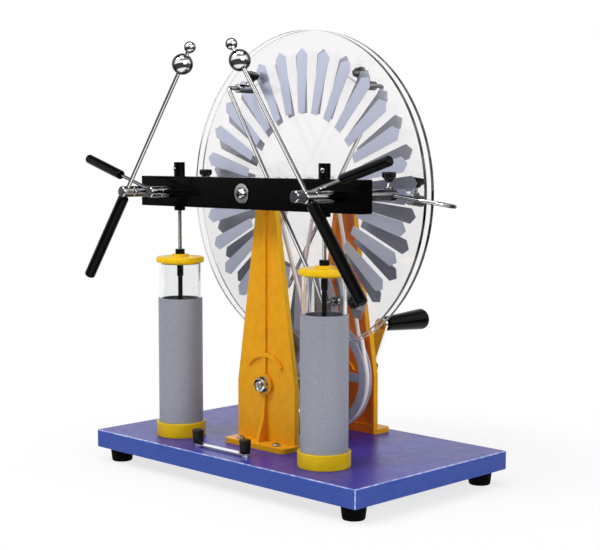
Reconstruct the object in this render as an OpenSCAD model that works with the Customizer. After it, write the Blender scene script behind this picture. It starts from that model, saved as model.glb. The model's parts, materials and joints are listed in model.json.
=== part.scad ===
// Hand-cranked influence machine: two clear discs with metal sectors turn against each other
// between two uprights, and charge two storage jars and a pair of spark electrodes.
// Millimetres. +X right, +Y back, +Z up. The origin is on the floor, at the middle of the footprint.

/* [Base] */
// Width of the base board
base_w = 360; // [320:1:420]
// Depth of the base board
base_d = 214; // [205:1:260]
// Thickness of the base board
base_t = 18; // [12:1:30]
// How far the board's centre lies in front of the disc plane
base_set = 16; // [10:0.5:20]
// Bevel on the board's edges
base_bevel = 1; // [0.5:0.25:3]
// Diameter of a rubber foot at its top
foot_d = 23; // [16:1:30]
// Diameter of a rubber foot where it stands
foot_low_d = 20; // [14:1:24]
// Height of a rubber foot
foot_h = 14; // [8:1:20]
// Inset of a foot's centre from both edges
foot_inset = 18; // [16:1:40]

/* [Uprights] */
// Height of the disc axle above the board
axle_h = 245.5; // [235:0.5:270]
// Height of the crank axle above the board
crank_h = 60.5; // [58:0.5:66]
// Outer face of an upright, from the disc plane
upright_y = 55; // [53:0.5:62]
// How much further back the rear upright stands
rear_set = 9; // [6:0.5:12]
// Depth of an upright
upright_t = 6; // [5:0.5:9]
// Width of an upright at its foot
upright_w = 79; // [70:1:84]
// Width of an upright at the axle
upright_neck = 21; // [18:1:28]
// Height where an upright starts to taper
upright_straight = 60; // [40:1:80]
// Wall round the pocket in an upright's inner face
upright_wall = 4; // [3:0.5:6]
// Depth of that pocket
upright_pocket = 3; // [1:0.5:4]
// Width of an upright's foot
sole_w = 84; // [80:1:100]
// Reach of an upright's foot in front of its face
sole_d = 18; // [16:1:26]
// Thickness of an upright's foot
sole_t = 5; // [4:0.5:10]
// Spacing of the two screws in an upright's foot
sole_screw_gap = 50; // [40:1:60]
// Width of the raised ribs
rib_w = 4; // [3:0.5:6]
// Height of the raised ribs
rib_h = 2.5; // [1.5:0.5:4]
// Middle radius of the curved rib
arc_r = 29; // [24:1:34]
// Angle that the curved rib spans
arc_span = 105; // [60:5:150]
// Diameter of the boss round the crank axle
boss_d = 21; // [18:1:26]

/* [Discs] */
// Diameter of a disc
disc_d = 314; // [300:1:330]
// Thickness of a disc
disc_t = 4; // [2:0.5:4]
// Gap between the two discs
disc_gap = 6; // [3:0.5:8]
// Sectors on each disc
sector_count = 28; // [20:1:32]
// Inner radius of a sector
sector_in_r = 77; // [60:1:85]
// Radius of a sector's shoulders
sector_out_r = 134; // [120:1:142]
// Length of a sector's pointed tip
sector_tip = 6; // [3:0.5:8]
// Width of a sector at its inner end
sector_in_w = 9; // [6:0.5:11]
// Width of a sector at its shoulders
sector_out_w = 14.5; // [10:0.5:18]
// Thickness of the sector foil
sector_t = 0.4; // [0.3:0.1:0.6]
// Turn of the front disc at rest
front_phase = 0.9; // [-6:0.1:6]
// Turn of the rear disc at rest
rear_phase = -4.3; // [-6:0.1:6]

/* [Axle and hubs] */
// Diameter of the disc axle
axle_d = 8; // [6:0.5:10]
// Diameter of a hub's body
hub_d = 18; // [14:1:22]
// Diameter of a hub's flange
hub_flange_d = 28; // [24:1:60]
// Thickness of a hub's flange
hub_flange_t = 4; // [3:0.5:6]
// Diameter of the hole in a disc
disc_bore = 16; // [14:1:22]
// Diameter of the spacers on the axle
spacer_d = 14; // [12:1:18]
// Radius of the belt on a hub
hub_belt_r = 13; // [12:0.5:15]

/* [Belt drive] */
// Diameter of a round belt
belt_d = 4; // [3:0.5:4.5]
// Distance of a belt from the disc plane
belt_y = 33; // [31:0.5:34]
// Width of a pulley's rim
pulley_w = 10; // [9:0.5:10]
// Radius of the belt on a drive pulley
drive_r = 53; // [48:0.5:54]
// Radial depth of a drive pulley's rim
rim_depth = 9; // [8:0.5:14]
// Spokes in a drive pulley
spoke_count = 6; // [3:1:8]
// Width of a spoke
spoke_w = 9; // [6:0.5:14]
// Thickness of a spoke
spoke_t = 4; // [3:0.5:6]
// Diameter of a drive pulley's hub
drive_hub_d = 22; // [18:1:28]
// Diameter of the crank axle
crank_axle_d = 8; // [6:0.5:10]

/* [Crank] */
// Radius of the crank
crank_r = 50.5; // [45:0.5:64]
// Angle of the crank from upright at rest
crank_angle = 22; // [0:0.1:90]
// Clearance of the arm behind the base board
arm_clear = 1.5; // [1:0.5:10]
// Width of the crank arm
arm_w = 13; // [11:0.5:16]
// Thickness of the crank arm
arm_t = 3.5; // [3:0.5:5]
// Gap between the arm and the crank handle
grip_stand = 2.5; // [1:0.5:6]
// Length of the crank handle
crank_grip_l = 61; // [40:1:70]
// Diameter of the crank handle at the arm
crank_grip_in_d = 15; // [11:0.5:16]
// Diameter of the crank handle at its far end
crank_grip_out_d = 22; // [16:0.5:26]
// Diameter of the pin in the crank handle
pin_d = 6; // [4:0.5:7]

/* [Cross beam] */
// Length of the beam
beam_l = 302; // [285:1:320]
// Height of the beam
beam_h = 30; // [24:1:36]
// Depth of the beam
beam_t = 15; // [14:0.5:18]
// Front face of the beam, from the disc plane
beam_y = 85; // [80:0.5:92]

/* [Storage jars] */
// Distance of a jar from the middle
jar_x = 100; // [90:0.5:102]
// Diameter of a jar's cup
cup_d = 49.4; // [47:0.1:56]
// Height of a jar's cup
cup_h = 14.5; // [10:0.5:20]
// Floor of a jar's cup
cup_floor = 3; // [2:0.5:5]
// Outer diameter of the clear tube
tube_d = 41.6; // [38:0.1:43.5]
// Wall of the clear tube
tube_wall = 2; // [1.5:0.25:3]
// Thickness of the outer foil sleeve
foil_t = 1.2; // [0.5:0.1:1.5]
// Height of the foil above the board
foil_h = 139; // [100:1:150]
// Thickness of the inner foil
liner_t = 0.8; // [0.5:0.1:1.5]
// Underside of the cap above the board
cap_h = 174.5; // [160:0.5:180]
// Diameter of the cap
cap_d = 48; // [45:0.5:54]
// Thickness of the cap
cap_t = 6; // [4:0.5:8]
// Diameter of the collar on the cap
collar_d = 17; // [14:0.5:20]
// Height of the collar on the cap
collar_h = 2.5; // [1:0.5:4]
// Depth of the plug under the cap
plug_h = 1.5; // [1:0.5:8]
// Diameter of the jar rod
jar_rod_d = 4; // [3:0.5:5]
// Diameter of the stem inside the jar
stem_d = 4.6; // [4.5:0.1:6]
// Diameter of the nut on the cap
jar_nut_d = 9.4; // [8:0.2:12]
// Height of the nut on the cap
jar_nut_h = 5; // [3:0.5:7]

/* [Terminals and levers] */
// Diameter of a terminal bush
bush_d = 11; // [10:0.5:12]
// Height of a bush above the beam
bush_up = 14; // [10:0.5:20]
// Reach of a bush below the beam
bush_down = 4; // [2:0.5:8]
// Diameter of the plug socket in a bush
socket_d = 4; // [3.5:0.1:4.5]
// Depth of the plug socket
socket_depth = 12; // [8:0.5:13]
// Reach of the lever's axis in front of the beam
lever_reach = 25; // [18:0.5:25]
// Diameter of a lever's rod
lever_d = 3.5; // [3:0.25:4.5]
// Distance of the lever's handle from its pivot
lever_l = 54; // [48:0.5:70]
// Diameter of the lever's handle
lever_grip_d = 9.6; // [8:0.1:11]
// Length of the lever's handle
lever_grip_l = 57; // [45:1:80]

/* [Posts and electrodes] */
// Distance of a conductor post from the middle
conductor_x = 126; // [122:0.5:134]
// Diameter of the posts
post_d = 11; // [9:0.5:12]
// Gap from a post's rear end to the disc plane
post_end = 13; // [11:0.5:15]
// Reach of the electrode's axis in front of the beam
electrode_reach = 39; // [38:0.5:50]
// Length of a turning head
head_l = 13; // [11:0.5:14]
// Diameter of the spigot that a head turns on
spigot_d = 5; // [4:0.5:6]
// Diameter of an electrode rod
electrode_d = 4; // [3:0.25:4.5]
// Length of an electrode from its pivot to the large ball
electrode_l = 148.5; // [130:0.5:155]
// Lean of an electrode at rest
electrode_lean = 35.7; // [20:0.1:39]
// Diameter of the large ball
ball_d = 20; // [15:0.5:24]
// Diameter of the small ball
tip_d = 11; // [8:0.5:14]
// Distance between the two balls' centres
tip_gap = 18.5; // [17.5:0.5:24]
// Diameter of the neck between the balls
neck_d = 4; // [3:0.5:6]
// Diameter of the electrode's handle
grip_d = 11; // [9:0.5:12]
// Length of the electrode's handle
grip_l = 100; // [70:1:120]
// Gap between a head and the electrode's handle
grip_gap = 1.5; // [1:0.25:4]
// Depth of a rod's seat in a handle
grip_seat = 24; // [12:1:30]

/* [Collectors] */
// Diameter of a collector fork's rod
fork_d = 4; // [3:0.25:4.5]
// Distance of the fork's legs from the disc plane
fork_y = 20; // [18:0.5:21]
// Reach of a fork past its post
fork_reach = 58; // [50:0.5:80]
// Droop of a fork
fork_droop = 6.5; // [0:0.5:12]
// Tilt of a fork about its front leg
fork_tilt = 8; // [0:0.5:12]
// Length that a fork's leg stands out of its clamp
fork_tail = 3; // [1:0.5:6]
// Length of the rear clamp
clamp_l = 18; // [16:0.5:24]
// Diameter of a clamp knob
knob_d = 13; // [10:0.5:16]
// Diameter of a clamp knob at its lower end
knob_low_d = 8; // [6:0.5:10]
// Height of a clamp knob
knob_h = 9; // [6:0.5:12]
// Diameter of a clamp screw
screw_d = 4; // [3:0.5:5]
// Height of a clamp nut's seat above the post's centre line
lock_seat = 4; // [3.5:0.25:5]
// Diameter of the nut on a clamp screw
lock_d = 8.5; // [7:0.5:10]
// Height of the nut on a clamp screw
lock_h = 3.5; // [2:0.5:5]
// Bare screw between that nut and the knob
screw_show = 4.5; // [2:0.5:6]
// Diameter of a brush wire
wire_d = 0.8; // [0.6:0.1:1.2]

/* [Neutralisers] */
// Lean of a neutraliser at rest
neutraliser_lean = 32.5; // [28:0.5:45]
// Length of a neutraliser from the axle to its bend
neutraliser_r = 121; // [112:0.5:128]
// Diameter of a neutraliser's rod
neutraliser_d = 4; // [3:0.25:4.5]
// Diameter of a neutraliser's collar
neutraliser_collar_d = 18; // [16:0.5:22]
// Diameter of a brush clamp
brush_clamp_d = 9; // [8:0.5:11]
// Length of a brush clamp
brush_clamp_l = 21; // [16:0.5:26]
// Gap from a brush clamp to the disc
brush_gap = 3; // [2.5:0.5:6]
// Turn of a brush clamp's screw away from the rod's direction
brush_turn = 57; // [0:1:80]
// Length of a brush wire along the disc
brush_l = 18; // [10:0.5:24]

/* [Jar link] */
// Distance of the link's left terminal from the middle
link_x = -45.5; // [-58:0.5:-40]
// Distance between the link's terminals
link_l = 67; // [55:0.5:80]
// Distance of the link in front of the disc plane
link_y = 102.5; // [96:0.5:108]
// Width of the link strip
link_w = 7; // [6:0.5:9]
// Thickness of the link strip
link_t = 1.2; // [0.8:0.1:2.5]
// Diameter of a link terminal's base
link_base_d = 9.5; // [8:0.5:12]
// Height of a link terminal's base
link_base_h = 1.2; // [0.8:0.1:4]
// Diameter of a link terminal's stud
stud_d = 4; // [3:0.5:4.5]
// Diameter of a link knob
link_knob_d = 11.4; // [9:0.2:14]
// Height of a link knob
link_knob_h = 13.5; // [10:0.5:18]

/* [Clearances] */
// Radial clearance of a fixed fit
fit_gap = 0.05; // [0.02:0.01:0.1]
// Radial clearance of a turning fit
run_gap = 0.08; // [0.05:0.01:0.1]
// Clearance between pieces that pass each other
free_gap = 0.3; // [0.2:0.05:0.5]

/* [Hidden] */
$fn = 48;
cut = 1;
base_top = foot_h + base_t;
base_back = base_d / 2 - base_set;
axle_z = base_top + axle_h;
crank_z = base_top + crank_h;
disc_r = disc_d / 2;
disc_out = disc_gap / 2 + disc_t;
web_in = upright_y - upright_t;
rear_face = upright_y + rear_set;
pulley_out = belt_y + pulley_w / 2;
pulley_in = belt_y - pulley_w / 2;
belt_span = axle_h - crank_h;
groove_half = belt_d * 0.4;
groove_low = belt_d / 2 + free_gap;
rim_over = belt_d / 2;
groove_flare = 25;
belt_sides = 8;
drive_step = 9;
hub_step = 15;
open_lean = asin((drive_r - hub_belt_r) / belt_span);
cross_lean = asin((drive_r + hub_belt_r) / belt_span);
arm_y = base_back + arm_clear;
crank_grip_y = arm_y + arm_t + grip_stand;
crank_back = crank_grip_y + crank_grip_l;
crank_x = crank_r * sin(crank_angle);
crank_up = crank_r * cos(crank_angle);
grip_round = 2;
beam_back = beam_y - beam_t;
jar_y = beam_y - beam_t / 2;
jar_floor = base_top + cup_floor;
cap_z = base_top + cap_h;
foil_top = base_top + foil_h;
tube_in_d = tube_d - 2 * tube_wall;
liner_d = tube_in_d - 2 * fit_gap;
post_r = post_d / 2;
lever_y = beam_y + lever_reach;
electrode_y = beam_y + electrode_reach;
post_gap = conductor_x - jar_x;
lever_rise = asin((post_r + lever_d / 2 + free_gap) / post_gap);
terminal_stud_d = 6;
stem_top = cap_z - plug_h;
fork_bend_x = fork_reach - fork_y - fork_d / 2;
screw_low = fork_d / 2 / cos(fork_droop) + screw_d / 2 * tan(fork_droop) + fit_gap;
screw_top = lock_seat + lock_h + screw_show;
collar_out = web_in - free_gap;
collar_in = pulley_out + free_gap;
neutraliser_y = (collar_in + collar_out) / 2;
brush_in = disc_out + sector_t + brush_gap;
brush_lock_seat = brush_clamp_d / 2 - 2;
brush_screw_top = brush_lock_seat + lock_h + screw_show / 2;
brush_screw_y = brush_in + knob_d / 2 - 1;
link_z = base_top + link_base_h + free_gap;
link_knob_z = link_z + link_t + free_gap;
front_reach = electrode_y + ball_d / 2;
origin_shift = (front_reach - crank_back) / 2;
bolt_head_d = 11;
bolt_head_h = 4;
bolt_d = 5;
bolt_l = 20;
bolt_washer_d = 19;
bolt_washer_t = 1.5;
bolt_key = 5;
nut_w = 13;
nut_h = 4.5;
nut_washer_d = 15.5;
nut_washer_t = 1;
thread_show = 1;
sleeve_d = 14;
wood_screw_d = 4;
wood_screw_head_d = 8;
wood_screw_head_h = 2.6;
wood_screw_l = 18;
wood_screw_y = sole_d * 0.55;
sole_round = 6;

// Shapes that several pieces share

// A round bar along Y
module bar_y(y0, y1, d) {
    translate([0, y0, 0]) rotate([-90, 0, 0]) cylinder(d = d, h = y1 - y0);
}

// A flat shape drawn in X and Z, standing from y0 to y1
module plate_y(y0, y1) {
    translate([0, y1, 0]) rotate([90, 0, 0]) linear_extrude(y1 - y0) children();
}

// A shape turned about Y, drawn as radius and distance along Y
module turned_y() {
    rotate([-90, 0, 0]) rotate_extrude() children();
}

// A round bar between two points
module bar(from, to, d) {
    run = to - from;
    translate(from)
        rotate([0, acos(run[2] / norm(run)), atan2(run[1], run[0])])
            cylinder(d = d, h = norm(run));
}

module rounded_rect(w, d, r) {
    square([w - 2 * r, d], center = true);
    square([w, d - 2 * r], center = true);
    for (x = [-1, 1], y = [-1, 1])
        translate([x * (w / 2 - r), y * (d / 2 - r)]) circle(r);
}

module both_sides() {
    children();
    mirror([1, 0, 0]) children();
}

// A hexagon nut along Y on its washer, seated at y0 and facing +Y
module nut_y(y0, bore) {
    difference() {
        union() {
            bar_y(y0, y0 + nut_washer_t, nut_washer_d);
            translate([0, y0 + nut_washer_t, 0])
                rotate([-90, 0, 0]) cylinder(d = nut_w / cos(30), h = nut_h, $fn = 6);
        }
        bar_y(y0 - cut, y0 + nut_washer_t + nut_h + cut, bore);
    }
}

// Section of a pulley's groove, pointing at the belt's centre line
module groove_section(belt_r) {
    depth = groove_low + rim_over + cut;
    flare = groove_half + depth * tan(groove_flare);
    translate([belt_r - groove_low, 0])
        polygon([[0, -groove_half], [depth, -flare], [depth, flare], [0, groove_half]]);
}

// A round handle along +Z with softened edges and a seat for a rod
module handle(d, l, bore, seat) {
    difference() {
        rotate_extrude() {
            square([d / 2 - grip_round, l]);
            translate([0, grip_round]) square([d / 2, l - 2 * grip_round]);
            for (z = [grip_round, l - grip_round])
                translate([d / 2 - grip_round, z]) circle(grip_round);
        }
        translate([0, 0, -cut]) cylinder(d = bore + 2 * fit_gap, h = seat + cut);
    }
}

// A short cylinder along Y that turns on a spigot and holds a rod across it
module turning_head(rod_d) {
    bevel = 0.6;
    back = head_l / 2;
    difference() {
        turned_y() polygon([
            [0, -back], [post_r - bevel, -back], [post_r, bevel - back],
            [post_r, back - bevel], [post_r - bevel, back], [0, back]
        ]);
        bar_y(rod_d / 2 + 2 * free_gap, back + cut, spigot_d + 2 * run_gap);
        translate([0, 0, -post_d]) cylinder(d = rod_d + 2 * fit_gap, h = 2 * post_d);
    }
}

// A post along Y with a spigot in front for a turning head centred on pivot_y
module headed_post(pivot_y, rod_d, end_y) {
    bar_y(head_l / 2 + free_gap - pivot_y, end_y, post_d);
    bar_y(rod_d / 2 + 3 * free_gap - pivot_y, head_l / 2 + cut - pivot_y, spigot_d);
}

// A clamp screw along +Z from low, with its nut seated at seat
module clamp_screw(low, seat, top) {
    translate([0, 0, low]) cylinder(d = screw_d, h = top - low);
    translate([0, 0, seat]) cylinder(d = lock_d, h = lock_h);
}

// Hole across a clamp for a fork's leg
module fork_hole() {
    rotate([0, 90, 0]) cylinder(d = fork_d + 2 * fit_gap, h = 2 * post_d, center = true);
}

// Hole in a clamp for its screw, with a seat for the nut
module clamp_hole() {
    cylinder(d = screw_d + 2 * fit_gap, h = post_d);
    translate([0, 0, lock_seat]) cylinder(d = lock_d + 2 * free_gap, h = post_d);
}

// A lobed knob along +Z
module clamp_knob() {
    lobes = 6;
    flute_d = knob_d * 0.28;
    difference() {
        cylinder(d1 = knob_low_d, d2 = knob_d, h = knob_h);
        for (k = [0 : lobes - 1])
            rotate([0, 0, k * 360 / lobes])
                translate([knob_d / 2 + flute_d * 0.15, 0, -cut])
                    cylinder(d = flute_d, h = knob_h + 2 * cut);
    }
}

// Base

module base_outline(w, d) {
    polygon([
        [base_bevel - w / 2, -d / 2], [w / 2 - base_bevel, -d / 2],
        [w / 2, base_bevel - d / 2], [w / 2, d / 2 - base_bevel],
        [w / 2 - base_bevel, d / 2], [base_bevel - w / 2, d / 2],
        [-w / 2, d / 2 - base_bevel], [-w / 2, base_bevel - d / 2]
    ]);
}

module upright_screw_places() {
    for (x = [-1, 1], y = [-upright_y - wood_screw_y, rear_face + wood_screw_y])
        translate([x * sole_screw_gap / 2, y, base_top]) children();
}

module link_places() {
    for (x = [link_x, link_x + link_l])
        translate([x, -link_y, base_top]) children();
}

module base_board() {
    screw_hole = wood_screw_l - sole_t + cut;
    stud_hole = base_t / 2;
    color("royalblue") difference() {
        translate([0, -base_set, foot_h + base_t / 2]) intersection() {
            linear_extrude(base_t, center = true) base_outline(base_w, base_d);
            rotate([90, 0, 0]) linear_extrude(base_d, center = true) base_outline(base_w, base_t);
            rotate([90, 0, 90]) linear_extrude(base_w, center = true) base_outline(base_d, base_t);
        }
        upright_screw_places()
            translate([0, 0, -screw_hole]) cylinder(d = wood_screw_d + 2 * fit_gap, h = screw_hole + cut);
        link_places()
            translate([0, 0, -stud_hole]) cylinder(d = stud_d + 2 * fit_gap, h = stud_hole + cut);
    }
}

module rubber_feet() {
    edge = 3;
    color("black")
        for (x = [-1, 1], y = [-1, 1])
            translate([
                x * (base_w / 2 - foot_inset),
                y * (base_d / 2 - foot_inset) - base_set,
                0
            ])
                rotate_extrude() {
                    square([foot_low_d / 2 - edge, foot_h]);
                    translate([foot_low_d / 2 - edge, edge]) circle(edge);
                    polygon([[0, edge], [foot_low_d / 2, edge], [foot_d / 2, foot_h], [0, foot_h]]);
                }
}

// Uprights

module upright_outline(inset) {
    half = upright_w / 2 - inset;
    neck = upright_neck / 2 - inset;
    polygon([
        [-half, inset], [half, inset], [half, upright_straight],
        [neck, axle_h], [-neck, axle_h], [-half, upright_straight]
    ]);
}

module upright_face() {
    upright_outline(0);
    translate([0, axle_h]) circle(d = upright_neck + rib_w);
}

module upright_pocket_shape() {
    floor_rib = sole_t + upright_wall;
    difference() {
        intersection() {
            upright_outline(upright_wall);
            translate([-upright_w, floor_rib]) square([2 * upright_w, axle_h - boss_d - floor_rib]);
        }
        translate([0, crank_h]) circle(d = boss_d);
        translate([-upright_w, crank_h - rib_w / 2]) square([2 * upright_w, rib_w]);
        translate([-upright_w, (crank_h + axle_h) / 2]) square([2 * upright_w, rib_w]);
    }
}

module arc_rib_shape() {
    reach = 2 * arc_r;
    intersection() {
        difference() {
            circle(arc_r + rib_w / 2);
            circle(arc_r - rib_w / 2);
        }
        polygon([
            [0, 0],
            [reach * sin(arc_span / 2), reach * cos(arc_span / 2)],
            [0, reach],
            [-reach * sin(arc_span / 2), reach * cos(arc_span / 2)]
        ]);
    }
}

module upright() {
    rib_y = -upright_y - rib_h;
    gusset_d = sole_d * 0.7;
    gusset_top = crank_h - boss_d / 2 + cut;
    difference() {
        translate([0, 0, base_top]) {
            plate_y(-upright_y, -web_in) upright_face();
            plate_y(rib_y, -upright_y)
                translate([-rib_w / 2, crank_h]) square([rib_w, axle_h - beam_h / 2 - crank_h]);
            plate_y(rib_y, -upright_y) translate([0, crank_h]) arc_rib_shape();
            plate_y(rib_y - 1, -upright_y) translate([0, crank_h]) circle(d = boss_d);
            translate([-rib_w / 2, 0, 0]) rotate([90, 0, 90]) linear_extrude(rib_w)
                polygon([
                    [-upright_y, sole_t - cut], [-upright_y - gusset_d, sole_t - cut],
                    [rib_y - rib_h, crank_h * 0.45], [rib_y, gusset_top], [-upright_y, gusset_top]
                ]);
            translate([0, -(upright_y + sole_d / 2 - upright_t / 2), 0])
                linear_extrude(sole_t) rounded_rect(sole_w, sole_d + upright_t, sole_round);
            translate([-upright_w / 2, -upright_y, 0]) cube([upright_w, upright_t, sole_t]);
        }
        translate([0, 0, base_top])
            plate_y(-web_in - upright_pocket, -web_in + cut) upright_pocket_shape();
        translate([0, 0, axle_z]) bar_y(-2 * upright_y, 0, axle_d + 2 * fit_gap);
        translate([0, 0, crank_z]) bar_y(-2 * upright_y, 0, crank_axle_d + 2 * run_gap);
        upright_screw_places()
            translate([0, 0, -cut]) cylinder(d = wood_screw_d + 2 * fit_gap, h = sole_t + 2 * cut);
    }
}

module front_upright() {
    color("orange") upright();
}

module rear_upright() {
    color("orange") translate([0, rear_set, 0]) mirror([0, 1, 0]) upright();
}

module upright_screws() {
    color("silver") upright_screw_places() translate([0, 0, sole_t]) {
        cylinder(d1 = wood_screw_head_d, d2 = wood_screw_head_d * 0.6, h = wood_screw_head_h);
        translate([0, 0, -wood_screw_l]) cylinder(d = wood_screw_d, h = wood_screw_l + cut);
    }
}

// Disc axle and what is on it

module main_axle() {
    tail = nut_washer_t + nut_h + thread_show;
    color("silver") translate([0, 0, axle_z]) difference() {
        bar_y(cut - beam_y, rear_face + tail, axle_d);
        bar_y(-beam_y, bolt_l + cut - beam_y, bolt_d + 2 * fit_gap);
    }
}

module beam_bolt() {
    head_y = -beam_y - bolt_washer_t;
    color("silver") translate([0, 0, axle_z]) difference() {
        union() {
            bar_y(head_y, -beam_y, bolt_washer_d);
            translate([0, head_y - bolt_head_h, 0]) rotate([-90, 0, 0])
                cylinder(d1 = bolt_head_d * 0.7, d2 = bolt_head_d, h = bolt_head_h);
            bar_y(head_y, bolt_l - beam_y, bolt_d);
        }
        translate([0, head_y - bolt_head_h - cut, 0]) rotate([-90, 0, 0])
            cylinder(d = bolt_key, h = bolt_head_h / 2 + cut, $fn = 6);
    }
}

module axle_nut() {
    color("silver") translate([0, 0, axle_z]) nut_y(rear_face, axle_d + 2 * fit_gap);
}

module axle_spacers() {
    washer_half = disc_gap / 2 - run_gap;
    color("gray") translate([0, 0, axle_z]) {
        difference() {
            bar_y(-beam_back, -upright_y, spacer_d);
            bar_y(-beam_y, 0, axle_d + 2 * fit_gap);
        }
        difference() {
            bar_y(-washer_half, washer_half, spacer_d);
            bar_y(-disc_gap, disc_gap, axle_d + 2 * fit_gap);
        }
        difference() {
            bar_y(web_in, web_in + rear_set, spacer_d);
            bar_y(0, 2 * web_in, axle_d + 2 * fit_gap);
        }
    }
}

module disc() {
    color("aliceblue", 0.4) translate([0, 0, axle_z]) difference() {
        bar_y(-disc_out, -disc_gap / 2, disc_d);
        bar_y(-disc_out - cut, cut - disc_gap / 2, disc_bore + 2 * fit_gap);
    }
}

module front_disc() {
    disc();
}

module rear_disc() {
    mirror([0, 1, 0]) disc();
}

module sectors(phase) {
    color("lightgray") translate([0, 0, axle_z])
        for (k = [0 : sector_count - 1])
            rotate([0, phase + k * 360 / sector_count, 0])
                plate_y(-disc_out - sector_t, -disc_out) polygon([
                    [-sector_in_w / 2, sector_in_r], [sector_in_w / 2, sector_in_r],
                    [sector_out_w / 2, sector_out_r], [0, sector_out_r + sector_tip],
                    [-sector_out_w / 2, sector_out_r]
                ]);
}

module front_sectors() {
    sectors(front_phase);
}

module rear_sectors() {
    mirror([0, 1, 0]) sectors(rear_phase);
}

module hub() {
    rim_r = hub_belt_r + rim_over;
    color("gainsboro") translate([0, 0, axle_z]) mirror([0, 1, 0]) difference() {
        union() {
            bar_y(disc_gap / 2, disc_out + cut, disc_bore);
            bar_y(disc_out, disc_out + hub_flange_t, hub_flange_d);
            bar_y(disc_out, pulley_out, hub_d);
            bar_y(pulley_in, pulley_out, 2 * rim_r);
        }
        translate([0, belt_y, 0]) turned_y() groove_section(hub_belt_r);
        bar_y(0, pulley_out + cut, axle_d + 2 * run_gap);
    }
}

module front_hub() {
    hub();
}

module rear_hub() {
    mirror([0, 1, 0]) hub();
}

// Belt drive and crank

module drive_pulley() {
    rim_r = drive_r + rim_over;
    rim_in_r = rim_r - rim_depth;
    color("lightslategray") translate([0, -belt_y, crank_z]) difference() {
        union() {
            difference() {
                bar_y(-pulley_w / 2, pulley_w / 2, 2 * rim_r);
                bar_y(-pulley_w, pulley_w, 2 * rim_in_r);
            }
            bar_y(-pulley_w / 2, pulley_w / 2, drive_hub_d);
            for (k = [0 : spoke_count - 1])
                rotate([0, (k + 0.5) * 360 / spoke_count, 0])
                    translate([-spoke_w / 2, -spoke_t / 2, crank_axle_d])
                        cube([spoke_w, spoke_t, rim_in_r - crank_axle_d + cut]);
        }
        turned_y() groove_section(drive_r);
        bar_y(-pulley_w, pulley_w, crank_axle_d + 2 * fit_gap);
    }
}

module front_drive_pulley() {
    drive_pulley();
}

module rear_drive_pulley() {
    mirror([0, 1, 0]) drive_pulley();
}

module crank_axle() {
    tail = nut_washer_t + nut_h + thread_show;
    color("silver") translate([0, 0, crank_z])
        bar_y(-upright_y - rib_h - 1 - tail, arm_y + arm_t + tail, crank_axle_d);
}

module crank_nuts() {
    front_seat = upright_y + rib_h + 1 + free_gap;
    color("silver") translate([0, 0, crank_z]) {
        mirror([0, 1, 0]) nut_y(front_seat, crank_axle_d + 2 * fit_gap);
        nut_y(arm_y + arm_t, crank_axle_d + 2 * fit_gap);
    }
}

module crank_sleeve() {
    color("silver") translate([0, 0, crank_z]) difference() {
        bar_y(rear_face + rib_h + 1 + free_gap, arm_y, sleeve_d);
        bar_y(0, arm_y + cut, crank_axle_d + 2 * fit_gap);
    }
}

module crank_arm() {
    color("silver") translate([0, 0, crank_z]) rotate([0, crank_angle, 0]) difference() {
        plate_y(arm_y, arm_y + arm_t) {
            circle(d = arm_w + 4);
            translate([-arm_w / 2, 0]) square([arm_w, crank_r]);
            translate([0, crank_r]) circle(d = arm_w);
        }
        bar_y(0, arm_y + 2 * arm_t, crank_axle_d + 2 * fit_gap);
        translate([0, 0, crank_r]) bar_y(0, arm_y + 2 * arm_t, pin_d + 2 * fit_gap);
    }
}

module crank_pin() {
    pin_end = crank_back - crank_grip_l * 0.2;
    head_h = arm_clear - free_gap;
    color("goldenrod") translate([crank_x, 0, crank_z + crank_up]) {
        bar_y(arm_y, pin_end, pin_d);
        bar_y(arm_y - head_h, arm_y, arm_w * 0.8);
        bar_y(arm_y + arm_t, crank_grip_y - free_gap, pin_d + 3);
    }
}

module crank_handle() {
    in_r = crank_grip_in_d / 2;
    out_r = crank_grip_out_d / 2;
    edge = 5;
    color("black") translate([crank_x, crank_grip_y, crank_z + crank_up]) difference() {
        turned_y() {
            polygon([[0, 0], [in_r, 0], [out_r, crank_grip_l - edge], [0, crank_grip_l - edge]]);
            square([out_r - edge, crank_grip_l]);
            translate([out_r - edge, crank_grip_l - edge]) circle(edge);
        }
        bar_y(-cut, crank_grip_l * 0.8 + free_gap, pin_d + 2 * run_gap);
    }
}

// Points of a belt round a pulley, from one angle to another, measured from +X towards +Z
function belt_arc(z, r, from, to, step) =
    let (count = ceil(abs(to - from) / step))
    [for (k = [0 : count])
        let (turn = from + (to - from) * k / count)
        [r * cos(turn), 0, z + r * sin(turn)]];

function unit(v) = v / norm(v);

// Corners of a belt's section at one point of its route
function belt_ring(before, here, after) =
    let (
        along = unit(after - before),
        out = unit(cross(along, [0, 1, 0])),
        up = cross(out, along)
    )
    [for (k = [0 : belt_sides - 1])
        let (turn = k * 360 / belt_sides)
        here + belt_d / 2 * (cos(turn) * out + sin(turn) * up)];

// An endless round belt along a closed route
module belt(route) {
    count = len(route);
    points = [for (k = [0 : count - 1])
        each belt_ring(route[(k + count - 1) % count], route[k], route[(k + 1) % count])];
    faces = [for (k = [0 : count - 1], s = [0 : belt_sides - 1])
        let (
            here = k * belt_sides,
            next = (k + 1) % count * belt_sides,
            side = (s + 1) % belt_sides
        )
        each [[here + s, next + side, here + side], [here + s, next + s, next + side]]];
    polyhedron(points, faces);
}

// Straight belt: both pulleys turn the same way
module rear_belt() {
    lean = open_lean;
    color("wheat") translate([0, belt_y, 0]) belt(concat(
        belt_arc(crank_z, drive_r, 180 - lean, 360 + lean, drive_step),
        belt_arc(axle_z, hub_belt_r, lean, 180 - lean, hub_step)
    ));
}

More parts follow.
